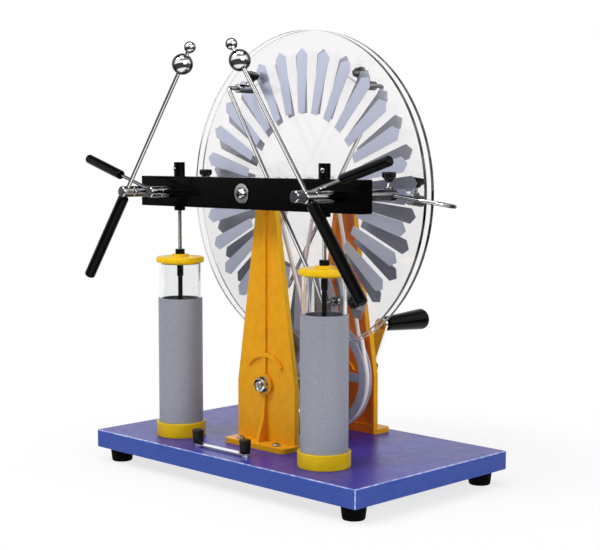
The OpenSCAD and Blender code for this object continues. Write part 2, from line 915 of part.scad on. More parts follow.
// Crossed belt: the two runs pass beside each other, and the pulleys turn opposite ways
module front_belt() {
    lean = cross_lean;
    aside = belt_d / 2 + free_gap;
    share = drive_r / (drive_r + hub_belt_r);
    low_z = crank_z + drive_r * sin(lean);
    high_z = axle_z - hub_belt_r * sin(lean);
    middle = [0, 0, low_z + share * (high_z - low_z)];
    color("wheat") translate([0, -belt_y, 0]) belt(concat(
        belt_arc(crank_z, drive_r, 180 - lean, 360 + lean, drive_step),
        [middle + [0, aside, 0]],
        belt_arc(axle_z, hub_belt_r, 180 + lean, -lean, hub_step),
        [middle - [0, aside, 0]]
    ));
}

// Cross beam, conductor posts and terminals

module cross_beam() {
    color([0.05, 0.05, 0.05]) difference() {
        translate([-beam_l / 2, -beam_y, axle_z - beam_h / 2]) cube([beam_l, beam_t, beam_h]);
        translate([0, 0, axle_z]) bar_y(-2 * beam_y, 0, axle_d + 2 * fit_gap);
        both_sides() {
            translate([conductor_x, 0, axle_z]) bar_y(-2 * beam_y, 0, post_d + 2 * fit_gap);
            translate([jar_x, 0, axle_z]) bar_y(-2 * beam_y, -jar_y, terminal_stud_d + 2 * fit_gap);
            translate([jar_x, -jar_y, axle_z - beam_h])
                cylinder(d = bush_d + 2 * fit_gap, h = 2 * beam_h);
        }
    }
}

module conductor_post() {
    color("silver") translate([conductor_x, 0, axle_z]) difference() {
        headed_post(electrode_y, electrode_d, -post_end);
        translate([0, -fork_y, 0]) {
            rotate([0, fork_droop, 0]) fork_hole();
            clamp_hole();
        }
    }
}

module left_conductor_post() {
    mirror([1, 0, 0]) conductor_post();
}

module right_conductor_post() {
    conductor_post();
}

module at_electrode() {
    translate([conductor_x, -electrode_y, axle_z]) rotate([0, -electrode_lean, 0]) children();
}

module electrode_head() {
    color("silver") at_electrode() turning_head(electrode_d);
}

module electrode_rod() {
    low = post_r + grip_gap + grip_seat - 1;
    color("silver") at_electrode()
        translate([0, 0, -low]) cylinder(d = electrode_d, h = low + electrode_l - ball_d / 4);
}

module spark_balls() {
    color("silver") at_electrode() translate([0, 0, electrode_l]) difference() {
        union() {
            sphere(d = ball_d);
            cylinder(d = neck_d, h = tip_gap);
            translate([0, 0, tip_gap]) sphere(d = tip_d);
        }
        translate([0, 0, -ball_d]) cylinder(d = electrode_d + 2 * fit_gap, h = ball_d * 0.75 + fit_gap);
    }
}

module electrode_handle() {
    color([0.05, 0.05, 0.05]) at_electrode()
        translate([0, 0, -post_r - grip_gap]) rotate([180, 0, 0])
            handle(grip_d, grip_l, electrode_d, grip_seat);
}

module left_electrode_head() {
    mirror([1, 0, 0]) electrode_head();
}

module right_electrode_head() {
    electrode_head();
}

module left_electrode_rod() {
    mirror([1, 0, 0]) electrode_rod();
}

module right_electrode_rod() {
    electrode_rod();
}

module left_spark_balls() {
    mirror([1, 0, 0]) spark_balls();
}

module right_spark_balls() {
    spark_balls();
}

module left_electrode_handle() {
    mirror([1, 0, 0]) electrode_handle();
}

module right_electrode_handle() {
    electrode_handle();
}

module terminal_posts() {
    stud_end = -jar_y - jar_rod_d / 2 - free_gap;
    color("silver") both_sides() translate([jar_x, 0, axle_z]) {
        headed_post(lever_y, lever_d, -beam_y);
        bar_y(-beam_y - cut, stud_end, terminal_stud_d);
    }
}

module terminal_bushes() {
    low = axle_z - beam_h / 2 - bush_down;
    high = axle_z + beam_h / 2 + bush_up;
    color([0.05, 0.05, 0.05]) both_sides() difference() {
        translate([jar_x, -jar_y, low]) cylinder(d = bush_d, h = high - low);
        translate([jar_x, -jar_y, low - cut])
            cylinder(d = jar_rod_d + 2 * fit_gap, h = axle_z + terminal_stud_d - low + cut);
        translate([jar_x, -jar_y, high - socket_depth]) cylinder(d = socket_d, h = socket_depth + cut);
        translate([jar_x, 0, axle_z]) bar_y(-beam_y, -jar_y, terminal_stud_d + 2 * fit_gap);
    }
}

module at_lever() {
    translate([jar_x, -lever_y, axle_z]) rotate([0, 90 - lever_rise, 0]) children();
}

module lever() {
    color("silver") at_lever() {
        turning_head(lever_d);
        translate([0, 0, -post_r / 2]) cylinder(d = lever_d + 2 * fit_gap, h = post_r);
        cylinder(d = lever_d, h = lever_l + grip_seat - 1);
    }
}

module lever_handle() {
    color([0.05, 0.05, 0.05]) at_lever()
        translate([0, 0, lever_l]) handle(lever_grip_d, lever_grip_l, lever_d, grip_seat);
}

module left_lever() {
    mirror([1, 0, 0]) lever();
}

module right_lever() {
    lever();
}

module left_lever_handle() {
    mirror([1, 0, 0]) lever_handle();
}

module right_lever_handle() {
    lever_handle();
}

// Storage jars

module at_jars() {
    both_sides() translate([jar_x, -jar_y, 0]) children();
}

module tube(d, wall, z0, z1) {
    translate([0, 0, z0]) difference() {
        cylinder(d = d, h = z1 - z0);
        translate([0, 0, -cut]) cylinder(d = d - 2 * wall, h = z1 - z0 + 2 * cut);
    }
}

module jar_cups() {
    inner_d = tube_d + 2 * foil_t + 4 * fit_gap;
    color("gold") at_jars() translate([0, 0, base_top]) difference() {
        cylinder(d = cup_d, h = cup_h);
        translate([0, 0, cup_floor]) cylinder(d = inner_d, h = cup_h);
    }
}

module jar_tubes() {
    color("aliceblue", 0.4) at_jars() tube(tube_d, tube_wall, jar_floor, cap_z);
}

module jar_foils() {
    color("darkgray") at_jars()
        tube(tube_d + 2 * foil_t + 2 * fit_gap, foil_t, jar_floor, foil_top);
}

module jar_liners() {
    color("dimgray") at_jars() {
        tube(liner_d, liner_t, jar_floor, foil_top);
        translate([0, 0, jar_floor]) cylinder(d = liner_d - liner_t, h = liner_t);
    }
}

module jar_caps() {
    edge = 2;
    color("gold") at_jars() translate([0, 0, cap_z]) difference() {
        union() {
            rotate_extrude() {
                square([cap_d / 2 - edge, cap_t]);
                translate([0, edge]) square([cap_d / 2, cap_t - 2 * edge]);
                for (z = [edge, cap_t - edge])
                    translate([cap_d / 2 - edge, z]) circle(edge);
            }
            cylinder(d = collar_d, h = cap_t + collar_h);
            translate([0, 0, -plug_h]) cylinder(d = tube_in_d - 2 * fit_gap, h = plug_h + cut);
        }
        translate([0, 0, -plug_h - cut])
            cylinder(d = jar_rod_d + 2 * fit_gap, h = cap_t + collar_h + plug_h + 2 * cut);
    }
}

module jar_rods() {
    low = stem_top - 2 * jar_rod_d;
    color("silver") at_jars()
        translate([0, 0, low]) cylinder(d = jar_rod_d, h = axle_z + terminal_stud_d - fit_gap - low);
}

// Black stem inside each jar and the black nut on its cap
module jar_stems() {
    nut_z = cap_z + cap_t + collar_h;
    low = jar_floor + liner_t;
    wall = 1.2;
    color([0.08, 0.08, 0.08]) at_jars() {
        difference() {
            union() {
                translate([0, 0, low]) cylinder(d = stem_d, h = stem_top - low);
                translate([0, 0, stem_top - 3 * jar_rod_d])
                    cylinder(d = jar_rod_d + 2 * wall, h = 3 * jar_rod_d);
            }
            translate([0, 0, stem_top - 2 * jar_rod_d - fit_gap])
                cylinder(d = jar_rod_d + 2 * fit_gap, h = 3 * jar_rod_d);
        }
        tube(jar_nut_d, jar_nut_d / 2 - jar_rod_d / 2 - fit_gap, nut_z, nut_z + jar_nut_h);
    }
}

// Collectors

module at_posts() {
    both_sides() translate([conductor_x, -fork_y, axle_z]) children();
}

// Frame of a fork, with its front leg along X and its rear leg behind it
module at_forks() {
    at_posts() rotate([0, fork_droop, 0]) rotate([-fork_tilt, 0, 0]) children();
}

module collector_forks() {
    tail = -post_r - fork_tail;
    color("silver") at_forks() {
        translate([fork_bend_x, fork_y, 0]) rotate([0, 0, -90])
            rotate_extrude(angle = 180) translate([fork_y, 0]) circle(d = fork_d);
        for (y = [0, 2 * fork_y])
            translate([tail, y, 0]) rotate([0, 90, 0]) cylinder(d = fork_d, h = fork_bend_x - tail);
    }
}

// Rear clamps on the forks, and the brush wires that reach to the discs
module collector_clamps() {
    wire_gap = 1;
    wire_tip = disc_out + sector_t + wire_gap;
    color("silver") {
        at_forks() difference() {
            union() {
                bar_y(fork_y + post_end, fork_y + post_end + clamp_l, post_d);
                bar_y(fork_y + wire_tip, fork_y + post_end + cut, wire_d);
            }
            translate([0, 2 * fork_y, 0]) {
                fork_hole();
                clamp_hole();
            }
        }
        at_posts() bar_y(fork_y - post_end, fork_y - wire_tip, wire_d);
    }
}

// Frames of the clamp screws: upright on the posts, and square to the forks on the rear clamps
module at_clamps() {
    at_posts() children();
    at_forks() translate([0, 2 * fork_y, 0]) children();
}

module clamp_screws() {
    color("silver") at_clamps() clamp_screw(screw_low, lock_seat, screw_top);
}

module clamp_knobs() {
    color([0.05, 0.05, 0.05]) at_clamps() translate([0, 0, screw_top]) clamp_knob();
}

// Neutralisers

module at_neutraliser() {
    translate([0, 0, axle_z]) rotate([0, -neutraliser_lean, 0]) children();
}

module at_neutraliser_ends() {
    at_neutraliser()
        for (turn = [0, 180])
            rotate([0, turn, 0]) children();
}

// Frames of the brush screws, which lean to the same side at both ends
module at_brush_screws() {
    at_neutraliser()
        for (end = [0, 1])
            rotate([0, 180 * end, 0])
                translate([0, -brush_screw_y, neutraliser_r])
                    rotate([0, brush_turn * (1 - 2 * end), 0]) children();
}

module neutraliser() {
    inner = axle_d / 2 + 2;
    clamp_out = brush_in + brush_clamp_l;
    wire_tip = -(disc_out + sector_t + wire_d);
    color("silver") {
        at_neutraliser() difference() {
            bar_y(-collar_out, -collar_in, neutraliser_collar_d);
            bar_y(-upright_y, 0, axle_d + 2 * run_gap);
        }
        at_neutraliser_ends() {
            translate([0, -neutraliser_y, inner]) cylinder(d = neutraliser_d, h = neutraliser_r - inner);
            translate([0, -neutraliser_y, neutraliser_r]) sphere(d = neutraliser_d);
            translate([0, 0, neutraliser_r]) {
                bar_y(-neutraliser_y, cut - clamp_out, neutraliser_d);
                bar_y(-clamp_out, -brush_in, brush_clamp_d);
                bar([0, -brush_in - wire_d, 0], [brush_l, wire_tip, 0], wire_d);
            }
        }
        at_brush_screws() clamp_screw(0, brush_lock_seat, brush_screw_top);
    }
}

module brush_knobs() {
    color([0.05, 0.05, 0.05]) at_brush_screws()
        translate([0, 0, brush_screw_top]) clamp_knob();
}

module front_neutraliser() {
    neutraliser();
}

module front_brush_knobs() {
    brush_knobs();
}

module rear_neutraliser() {
    rotate([0, 0, 180]) neutraliser();
}

module rear_brush_knobs() {
    rotate([0, 0, 180]) brush_knobs();
}

// Jar link

module link_posts() {
    stud_low = base_t / 2 - 1;
    stud_top = link_knob_z - base_top + link_knob_h / 2;
    color("silver") link_places() {
        cylinder(d = link_base_d, h = link_base_h);
        translate([0, 0, -stud_low]) cylinder(d = stud_d, h = stud_low + stud_top);
    }
}

module link_knobs() {
    seat = link_knob_z - base_top;
    color([0.05, 0.05, 0.05]) link_places() translate([0, 0, seat]) difference() {
        cylinder(d1 = link_knob_d * 0.86, d2 = link_knob_d, h = link_knob_h);
        translate([0, 0, -cut]) cylinder(d = stud_d + 2 * fit_gap, h = link_knob_h / 2 + cut + fit_gap);
    }
}

module link_strip() {
    hole = stud_d + 2 * free_gap;
    color("silver") translate([link_x, -link_y, link_z]) linear_extrude(link_t) difference() {
        union() {
            circle(d = link_w);
            translate([0, -link_w / 2]) square([link_l, link_w]);
            translate([link_l, 0]) circle(d = link_w);
        }
        circle(d = hole);
        translate([link_l, 0]) circle(d = hole);
        translate([link_l - hole / 2, 0]) square([hole, link_w]);
    }
}

// Moves the machine so that the origin lies at the middle of its footprint
module placed() {
    translate([0, origin_shift, 0]) children();
}

placed() base_board();
placed() rubber_feet();
placed() front_upright();
placed() rear_upright();
placed() upright_screws();
placed() main_axle();
placed() beam_bolt();
placed() axle_nut();
placed() cross_beam();
placed() axle_spacers();
placed() front_disc();
placed() front_sectors();
placed() front_hub();
placed() rear_disc();
placed() rear_sectors();
placed() rear_hub();
placed() crank_axle();
placed() front_drive_pulley();
placed() rear_drive_pulley();
placed() crank_arm();
placed() crank_pin();
placed() crank_nuts();
placed() crank_sleeve();
placed() crank_handle();
placed() front_belt();
placed() rear_belt();
placed() left_conductor_post();
placed() right_conductor_post();
placed() left_electrode_head();
placed() right_electrode_head();
placed() left_electrode_rod();
placed() right_electrode_rod();
placed() left_spark_balls();
placed() right_spark_balls();
placed() left_electrode_handle();
placed() right_electrode_handle();
placed() terminal_posts();
placed() terminal_bushes();
placed() left_lever();
placed() right_lever();
placed() left_lever_handle();
placed() right_lever_handle();
placed() jar_cups();
placed() jar_tubes();
placed() jar_foils();
placed() jar_liners();
placed() jar_caps();
placed() jar_rods();
placed() jar_stems();
placed() collector_forks();
placed() collector_clamps();
placed() clamp_screws();
placed() clamp_knobs();
placed() front_neutraliser();
placed() front_brush_knobs();
placed() rear_neutraliser();
placed() rear_brush_knobs();
placed() link_posts();
placed() link_knobs();
placed() link_strip();
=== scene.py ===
"""Visual model of a hand-cranked influence machine with two counter-rotating discs.

Every CAD node gets a finished piece of its own, with softened edges, threads, flutes and recesses
in mesh code, and a procedural finish. Sizes are in millimetres about the disc plane, as in the
part's source, and become metres in the shared frame when a piece is made.
"""

import json
import logging
import math
from collections.abc import Iterator, Sequence
from dataclasses import dataclass, replace
from enum import Enum

import bmesh
import bpy
from mathutils import Matrix, Vector

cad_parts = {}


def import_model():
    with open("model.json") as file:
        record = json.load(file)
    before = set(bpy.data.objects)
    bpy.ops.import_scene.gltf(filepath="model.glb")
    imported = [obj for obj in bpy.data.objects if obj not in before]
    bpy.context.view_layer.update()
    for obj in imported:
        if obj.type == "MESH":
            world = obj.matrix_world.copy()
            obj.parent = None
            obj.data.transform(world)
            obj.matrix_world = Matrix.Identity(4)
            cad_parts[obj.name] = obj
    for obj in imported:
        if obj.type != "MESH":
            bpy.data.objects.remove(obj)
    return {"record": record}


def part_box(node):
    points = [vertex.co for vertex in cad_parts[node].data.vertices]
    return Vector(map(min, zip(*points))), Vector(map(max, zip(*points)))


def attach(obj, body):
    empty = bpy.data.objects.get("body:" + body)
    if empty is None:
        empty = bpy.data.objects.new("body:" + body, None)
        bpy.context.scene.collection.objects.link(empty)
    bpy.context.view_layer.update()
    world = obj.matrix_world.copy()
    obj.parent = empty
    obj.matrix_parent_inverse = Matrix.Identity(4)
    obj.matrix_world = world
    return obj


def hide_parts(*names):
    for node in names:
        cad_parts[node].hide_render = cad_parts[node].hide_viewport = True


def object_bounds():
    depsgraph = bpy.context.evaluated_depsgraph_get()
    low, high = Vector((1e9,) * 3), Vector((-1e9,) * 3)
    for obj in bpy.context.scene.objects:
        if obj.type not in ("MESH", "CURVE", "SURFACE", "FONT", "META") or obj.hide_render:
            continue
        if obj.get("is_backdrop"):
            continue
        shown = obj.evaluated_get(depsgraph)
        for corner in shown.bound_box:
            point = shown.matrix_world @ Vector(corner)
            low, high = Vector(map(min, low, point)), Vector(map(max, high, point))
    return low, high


LOG = logging.getLogger("influence_machine")
MM = 0.001
NAME_TAIL = "_finished"
FINISH_TAIL = "_finish"
SMOOTH_ANGLE = 32.0

FREE_GAP = 0.3
FIT_GAP = 0.05
TURN_GAP = 0.08
AXLE_PITCH = 1.25
SCREW_D = 4.0
SCREW_PITCH = 0.7
NUT_FLATS = 13.0
NUT_H = 4.5
NUT_WASHER_D = 15.5
NUT_WASHER_T = 1.0
GROOVE_RIM = 2.0
GROOVE_DEPTH = 2.3
GROOVE_MOUTH = 3.6
GROOVE_FLOOR = 1.6

Socket = bpy.types.NodeSocket
Span = tuple[float, float]
Triple = tuple[float, float, float]
Profile = Sequence[Span]


def spin(axis: str, degrees: float) -> Matrix:
    """Turn about one axis of the frame.

    Args:
        axis: "X", "Y" or "Z".
        degrees: Angle of the turn.

    Returns:
        A 4x4 rotation matrix.
    """
    return Matrix.Rotation(math.radians(degrees), 4, axis)


def shift(x: float, y: float, z: float) -> Matrix:
    """Move by millimetres."""
    return Matrix.Translation((x, y, z))


def scene_object(name: str, data: bpy.types.ID) -> bpy.types.Object:
    """A new object in the scene.

    Args:
        name: Name of the object.
        data: Its mesh, lamp or camera.

    Returns:
        The object.
    """
    item = bpy.data.objects.new(name, data)
    bpy.context.scene.collection.objects.link(item)
    return item


def modified(holder: bpy.types.Object) -> bpy.types.Mesh:
    """The plain mesh that an object's modifiers make of it.

    Args:
        holder: Object with modifiers, which is removed.

    Returns:
        A mesh of its own.
    """
    graph = bpy.context.evaluated_depsgraph_get()
    result = bpy.data.meshes.new_from_object(holder.evaluated_get(graph))
    bpy.data.objects.remove(holder)
    return result


TO_BACK = spin("X", -90)
TO_FRONT = spin("X", 90)
ACROSS = Matrix.Diagonal((-1.0, 1.0, 1.0, 1.0))


def mirrored(place: Matrix) -> Matrix:
    """The same place on the other side of the machine's middle plane."""
    return ACROSS @ place @ ACROSS


class Side(Enum):
    """The two halves of the machine, seen from the jars' side."""

    LEFT = -1
    RIGHT = 1

    @property
    def word(self) -> str:
        """Lower-case name, as the nodes use it."""
        return self.name.lower()

    def place(self, right: Matrix) -> Matrix:
        """Place on this side, from the place on the right."""
        return right if self is Side.RIGHT else mirrored(right)


class Face(Enum):
    """The two faces of the disc pair."""

    FRONT = -1
    REAR = 1

    @property
    def word(self) -> str:
        """Lower-case name, as the nodes use it."""
        return self.name.lower()

    @property
    def axis(self) -> Matrix:
        """Turn that points local Z away from the disc plane on this face."""
        return TO_FRONT if self is Face.FRONT else TO_BACK

    @property
    def flat(self) -> Matrix:
        """Turn that stands a flat outline up, with its thickness away from the disc plane."""
        return TO_FRONT if self is Face.FRONT else spin("Z", 180) @ TO_FRONT

    @property
    def about(self) -> Matrix:
        """Half turn that carries a front assembly to this face."""
        return Matrix() if self is Face.FRONT else spin("Z", 180)


def rounded(corners: Sequence, radius: float, closed: bool = False, steps: int = 3) -> list[Vector]:
    """Rounds the corners of a line of points, in two or three dimensions.

    Args:
        corners: Points of the line.
        radius: Radius at each corner, less where the line is too short for it.
        closed: Whether the last point joins the first.
        steps: Segments in each rounded corner.

    Returns:
        Points of the rounded line.
    """
    points = [Vector(corner) for corner in corners]
    count = len(points)
    result = []
    for index, here in enumerate(points):
        if not closed and index in (0, count - 1):
            result.append(here)
            continue
        back = points[index - 1] - here
        ahead = points[(index + 1) % count] - here
        room = min(back.length, ahead.length) * 0.45
        angle = back.angle(ahead)
        if angle > math.pi - 0.06:
            result.append(here)
            continue
        cut = min(radius / math.tan(angle / 2), room)
        start = here + back.normalized() * cut
        end = here + ahead.normalized() * cut
        for step in range(steps + 1):
            part = step / steps
            result.append(start * (1 - part) ** 2 + here * 2 * part * (1 - part) + end * part**2)
    return result


def arc(middle: Span, radius: float, start: float, end: float, steps: int) -> list[Vector]:
    """Points on a circle.

    Args:
        middle: Centre of the circle.
        radius: Radius of the circle.
        start: First angle in degrees, from local X towards local Y.
        end: Last angle in degrees.
        steps: Segments between the two.

    Returns:
        steps + 1 points in two dimensions.
    """
    turns = [math.radians(start + (end - start) * step / steps) for step in range(steps + 1)]
    return [Vector((middle[0] + radius * math.cos(t), middle[1] + radius * math.sin(t))) for t in turns]


def oblong(half: float, low: float, high: float) -> list[Span]:
    """Corners of a rectangle that lies evenly about local Y."""
    return [(-half, low), (half, low), (half, high), (-half, high)]


def polar(radius: float, angle: float, height: float) -> Vector:
    """A point round local Z, from its radius, its angle in radians and its height."""
    return Vector((radius * math.cos(angle), radius * math.sin(angle), height))


@dataclass(frozen=True)
class Bench:
    """Heights and planes read from the CAD model, and sizes that assemblies share, in millimetres."""

    base_top: float
    axle: float
    crank: float
    plane: float
    axle_d: float = 8.0
    upright_y: float = 55.0
    rear_set: float = 9.0
    beam_front: float = 85.0
    beam_back: float = 70.0
    conductor_x: float = 126.0
    jar_x: float = 100.0
    post_d: float = 11.0
    post_end: float = 13.0
    belt_y: float = 33.0
    hub_r: float = 13.0
    pulley_w: float = 10.0

    @classmethod
    def read(cls) -> "Bench":
        """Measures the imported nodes."""
        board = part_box("base_board")
        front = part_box("front_disc")
        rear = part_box("rear_disc")
        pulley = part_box("front_drive_pulley")
        return cls(
            base_top=board[1].z / MM,
            axle=(front[0].z + front[1].z) / 2 / MM,
            crank=(pulley[0].z + pulley[1].z) / 2 / MM,
            plane=(front[0].y + rear[1].y) / 2 / MM,
        )

    @property
    def beam_y(self) -> float:
        """Middle of the cross beam, where the jars stand."""
        return -(self.beam_front + self.beam_back) / 2

    def to_frame(self) -> Matrix:
        """Matrix from millimetres about the disc plane to metres in the shared frame."""
        return Matrix.Scale(MM, 4) @ shift(0, self.plane, 0)


class Graph:
    """A node tree, with short ways to add and join nodes."""

    def __init__(self, tree: bpy.types.NodeTree) -> None:
        """Starts on a cleared tree."""
        self.tree = tree
        tree.nodes.clear()

    def add(self, kind: str) -> bpy.types.Node:
        """Adds a node of one kind."""
        return self.tree.nodes.new(kind)

    def join(self, source: Socket, target: Socket) -> None:
        """Joins two sockets."""
        self.tree.links.new(source, target)

    def math(self, operation: str, left: Socket | float, right: Socket | float) -> Socket:
        """Combines two values.

        Args:
            operation: Name of the operation.
            left: First value.
            right: Second value.

        Returns:
            The result's socket.
        """
        node = self.add("ShaderNodeMath")
        node.operation = operation
        for socket, value in zip(node.inputs, (left, right)):
            if isinstance(value, Socket):
                self.join(value, socket)
            else:
                socket.default_value = value
        return node.outputs[0]

    def ranged(self, value: Socket, source: Span, target: Span) -> Socket:
        """A value carried smoothly from one range to another, and held inside it.

        Args:
            value: Value to carry over.
            source: Range that the value comes in.
            target: Range that it is carried to.

        Returns:
            The result's socket.
        """
        node = self.add("ShaderNodeMapRange")
        node.interpolation_type = "SMOOTHSTEP"
        for word, ends in (("From", source), ("To", target)):
            node.inputs[word + " Min"].default_value = ends[0]
            node.inputs[word + " Max"].default_value = ends[1]
        self.join(value, node.inputs["Value"])
        return node.outputs["Result"]

    def along(self, place: Socket, direction: Triple) -> Socket:
        """How far a place lies along a direction."""
        node = self.add("ShaderNodeVectorMath")
        node.operation = "DOT_PRODUCT"
        node.inputs[1].default_value = direction
        self.join(place, node.inputs[0])
        return node.outputs["Value"]

    def mixed_shader(self, share: Socket, low: Socket, high: Socket) -> Socket:
        """A shader between two others, by a share from 0 to 1."""
        node = self.add("ShaderNodeMixShader")
        for source, target in zip((share, low, high), node.inputs):
            self.join(source, target)
        return node.outputs[0]


class Web(Graph):
    """A material's node tree, built round one Principled shader."""

    def __init__(self, name: str) -> None:
        """Starts a material whose output shows the shader."""
        self.material = bpy.data.materials.new(name + FINISH_TAIL)
        self.material.use_nodes = True
        super().__init__(self.material.node_tree)
        self.output = self.add("ShaderNodeOutputMaterial")
        self.shader = self.add("ShaderNodeBsdfPrincipled")
        self.join(self.shader.outputs[0], self.output.inputs["Surface"])
        self.origin = self.add("ShaderNodeTexCoord").outputs["Object"]

    def stretched(self, stretch: Triple) -> Socket:
        """Object coordinates with each axis scaled."""
        node = self.add("ShaderNodeMapping")
        node.inputs["Scale"].default_value = stretch
        self.join(self.origin, node.inputs["Vector"])
        return node.outputs["Vector"]

    def noise(self, where: Socket, scale: float, detail: float) -> Socket:
        """Noise between 0 and 1.

        Args:
            where: Coordinates that the noise reads.
            scale: Patches per metre.
            detail: Octaves of finer noise.

        Returns:
            The noise's value socket.
        """
        node = self.add("ShaderNodeTexNoise")
        node.inputs["Scale"].default_value = scale
        node.inputs["Detail"].default_value = detail
        self.join(where, node.inputs["Vector"])
        return node.outputs["Fac"]

    def mixed(self, share: Socket, low: str, high: str) -> Socket:
        """Colour between two others, by a share from 0 to 1."""
        node = self.add("ShaderNodeMix")
        node.data_type = "RGBA"
        self.join(share, node.inputs[0])
        node.inputs[6].default_value = linear(low)
        node.inputs[7].default_value = linear(high)
        return node.outputs[2]

    def edged(self, colour: Socket, edge: str, turn: Span) -> Socket:
        """Colour that goes over to a painted dark reflection where the surface turns away.

        Args:
            colour: Colour where the surface is seen straight on.
            edge: Colour of the painted reflection at the edge.
            turn: Share of turning away at which the change starts and ends.

        Returns:
            The colour's socket.
        """
        facing = self.add("ShaderNodeLayerWeight").outputs["Facing"]
        node = self.add("ShaderNodeMix")
        node.data_type = "RGBA"
        self.join(self.ranged(facing, turn, (0.0, 1.0)), node.inputs[0])
        self.join(colour, node.inputs[6])
        node.inputs[7].default_value = linear(edge)
        return node.outputs[2]

    def bumped(self, height: Socket, strength: float, depth: float) -> None:
        """Gives the shader a bump from a height.

        Args:
            height: Height between 0 and 1.
            strength: Share of the bump that shows.
            depth: Height of the bump in millimetres.
        """
        node = self.add("ShaderNodeBump")
        node.inputs["Strength"].default_value = strength
        node.inputs["Distance"].default_value = depth * MM
        self.join(height, node.inputs["Height"])
        self.join(node.outputs["Normal"], self.shader.inputs["Normal"])


def linear(code: str) -> tuple[float, float, float, float]:
    """Linear colour from a #rrggbb code."""
    parts = [int(code[start : start + 2], 16) / 255 for start in (1, 3, 5)]
    red, green, blue = (p / 12.92 if p <= 0.04045 else ((p + 0.055) / 1.055) ** 2.4 for p in parts)
    return red, green, blue, 1.0


@dataclass(frozen=True)
class Finish:
    """A solid surface: two mottled colours, uneven gloss, a fine bump and, where set, a painted dark
    reflection at its grazing edges.
    """

    name: str
    slot: str
    colour: str
    fleck: str
    gloss: Span
    grain: float = 260.0
    stretch: Triple = (1.0, 1.0, 1.0)
    contrast: Span = (0.35, 0.65)
    bump: float = 0.15
    depth: float = 0.02
    metallic: float = 0.0
    shine: float = 0.5
    # Colour of a painted dark reflection at grazing edges; empty for none.
    edge: str = ""
    edge_turn: Span = (0.2, 0.45)

    def material(self) -> bpy.types.Material:
        """The finish's material, made once."""
        return bpy.data.materials.get(self.name + FINISH_TAIL) or self.made()

    def made(self) -> bpy.types.Material:
        """Builds the material."""
        web = Web(self.name)
        where = web.stretched(self.stretch)
        fine = web.noise(where, self.grain, detail=5.0)
        broad = web.noise(web.origin, self.grain * 0.12, detail=3.0)
        share = web.ranged(fine, self.contrast, (0.0, 1.0))
        colour = web.mixed(share, self.colour, self.fleck)
        # Painted reflection: the colour darkens towards grazing edges, as a dark room would show in the
        # metal.
        if self.edge:
            colour = web.edged(colour, self.edge, self.edge_turn)
        web.join(colour, web.shader.inputs["Base Color"])
        web.join(web.ranged(broad, (0.3, 0.7), self.gloss), web.shader.inputs["Roughness"])
        web.shader.inputs["Metallic"].default_value = self.metallic
        web.shader.inputs["Specular IOR Level"].default_value = self.shine
        web.bumped(fine, self.bump, self.depth)
        return web.material


@dataclass(frozen=True)
class ClearFinish(Finish):
    """Clear polished plastic that lets the lamps through to what is behind it."""

    bend: float = 1.49
    veil: str = "#f2f4f6"

    def made(self) -> bpy.types.Material:
        """Builds the material."""
        web = Web(self.name)
        smear = web.noise(web.origin, self.grain, detail=4.0)
        web.shader.inputs["Base Color"].default_value = linear(self.colour)
        web.shader.inputs["Transmission Weight"].default_value = 1.0
        web.shader.inputs["IOR"].default_value = self.bend
        web.join(web.ranged(smear, (0.45, 0.75), self.gloss), web.shader.inputs["Roughness"])
        path = web.add("ShaderNodeLightPath")
        open_light = web.add("ShaderNodeBsdfTransparent")
        open_light.inputs["Color"].default_value = linear(self.veil)
        shadow = path.outputs["Is Shadow Ray"]
        shown = web.mixed_shader(shadow, web.shader.outputs[0], open_light.outputs[0])
        web.join(shown, web.output.inputs["Surface"])
        return web.material


# Lit and shaded copies of one board paint: a painted-shade darker top and painted-lit brighter sides.
BOARD_TOP_PAINTED_SHADE = Finish(
    "board_top", "board_paint", "#2c2a8f", "#302f95", (0.3, 0.36),
    grain=900.0, stretch=(0.35, 1.0, 1.0), shine=0.36,
)
BOARD_SIDE_PAINTED_LIT = Finish(
    "board_side", "board_paint", "#29449a", "#304ca2", (0.34, 0.5),
    grain=420.0, bump=0.2, depth=0.03, shine=0.3,
)
# Painted highlight along the board's upper edges and corners.
BOARD_EDGE_HIGHLIGHT = Finish(
    "board_rim", "board_paint", "#7488d4", "#c3cdf2", (0.28, 0.45), grain=180.0, bump=0.2, depth=0.04,
)
RUBBER = Finish(
    "foot_rubber", "foot_rubber", "#060606", "#0c0c0c", (0.55, 0.75),
    grain=700.0, bump=0.4, depth=0.06, shine=0.03,
)
AMBER = Finish(
    "amber_plastic", "amber_plastic", "#e6a118", "#eca81c", (0.24, 0.36),
    grain=120.0, bump=0.1, depth=0.05, shine=0.12,
)
# Lit and shaded copies of the amber: painted shade for faces in shadow, painted light for flanks, painted
# shade on rib sides.
AMBER_PAINTED_SHADE = replace(AMBER, name="amber_shade", colour="#ea7020", fleck="#ee7824")
AMBER_PAINTED_LIT = replace(AMBER, name="amber_light", colour="#f6b92a", fleck="#fac02e")
AMBER_RIB_PAINTED_SHADE = replace(AMBER, name="amber_deep", colour="#e98d1d", fleck="#ed9421")
CAP_YELLOW = Finish(
    "cap_yellow", "yellow_plastic", "#ecbc04", "#f0c50a", (0.25, 0.38),
    grain=150.0, bump=0.1, depth=0.04, shine=0.2,
)
CUP_YELLOW = Finish(
    "cup_yellow", "yellow_plastic", "#e2b808", "#e8c10e", (0.28, 0.42),
    grain=150.0, bump=0.12, depth=0.04, shine=0.2,
)
GLOSS_BLACK = Finish(
    "gloss_black", "black_plastic", "#040404", "#080809", (0.1, 0.18),
    grain=600.0, bump=0.1, shine=0.05,
)
GRIP_BLACK = Finish(
    "grip_black", "black_plastic", "#050506", "#09090a", (0.14, 0.22),
    grain=700.0, bump=0.06, shine=0.1,
)
KNOB_BLACK = Finish(
    "knob_black", "black_plastic", "#080809", "#111112", (0.22, 0.36),
    grain=900.0, bump=0.3, depth=0.04, shine=0.2,
)
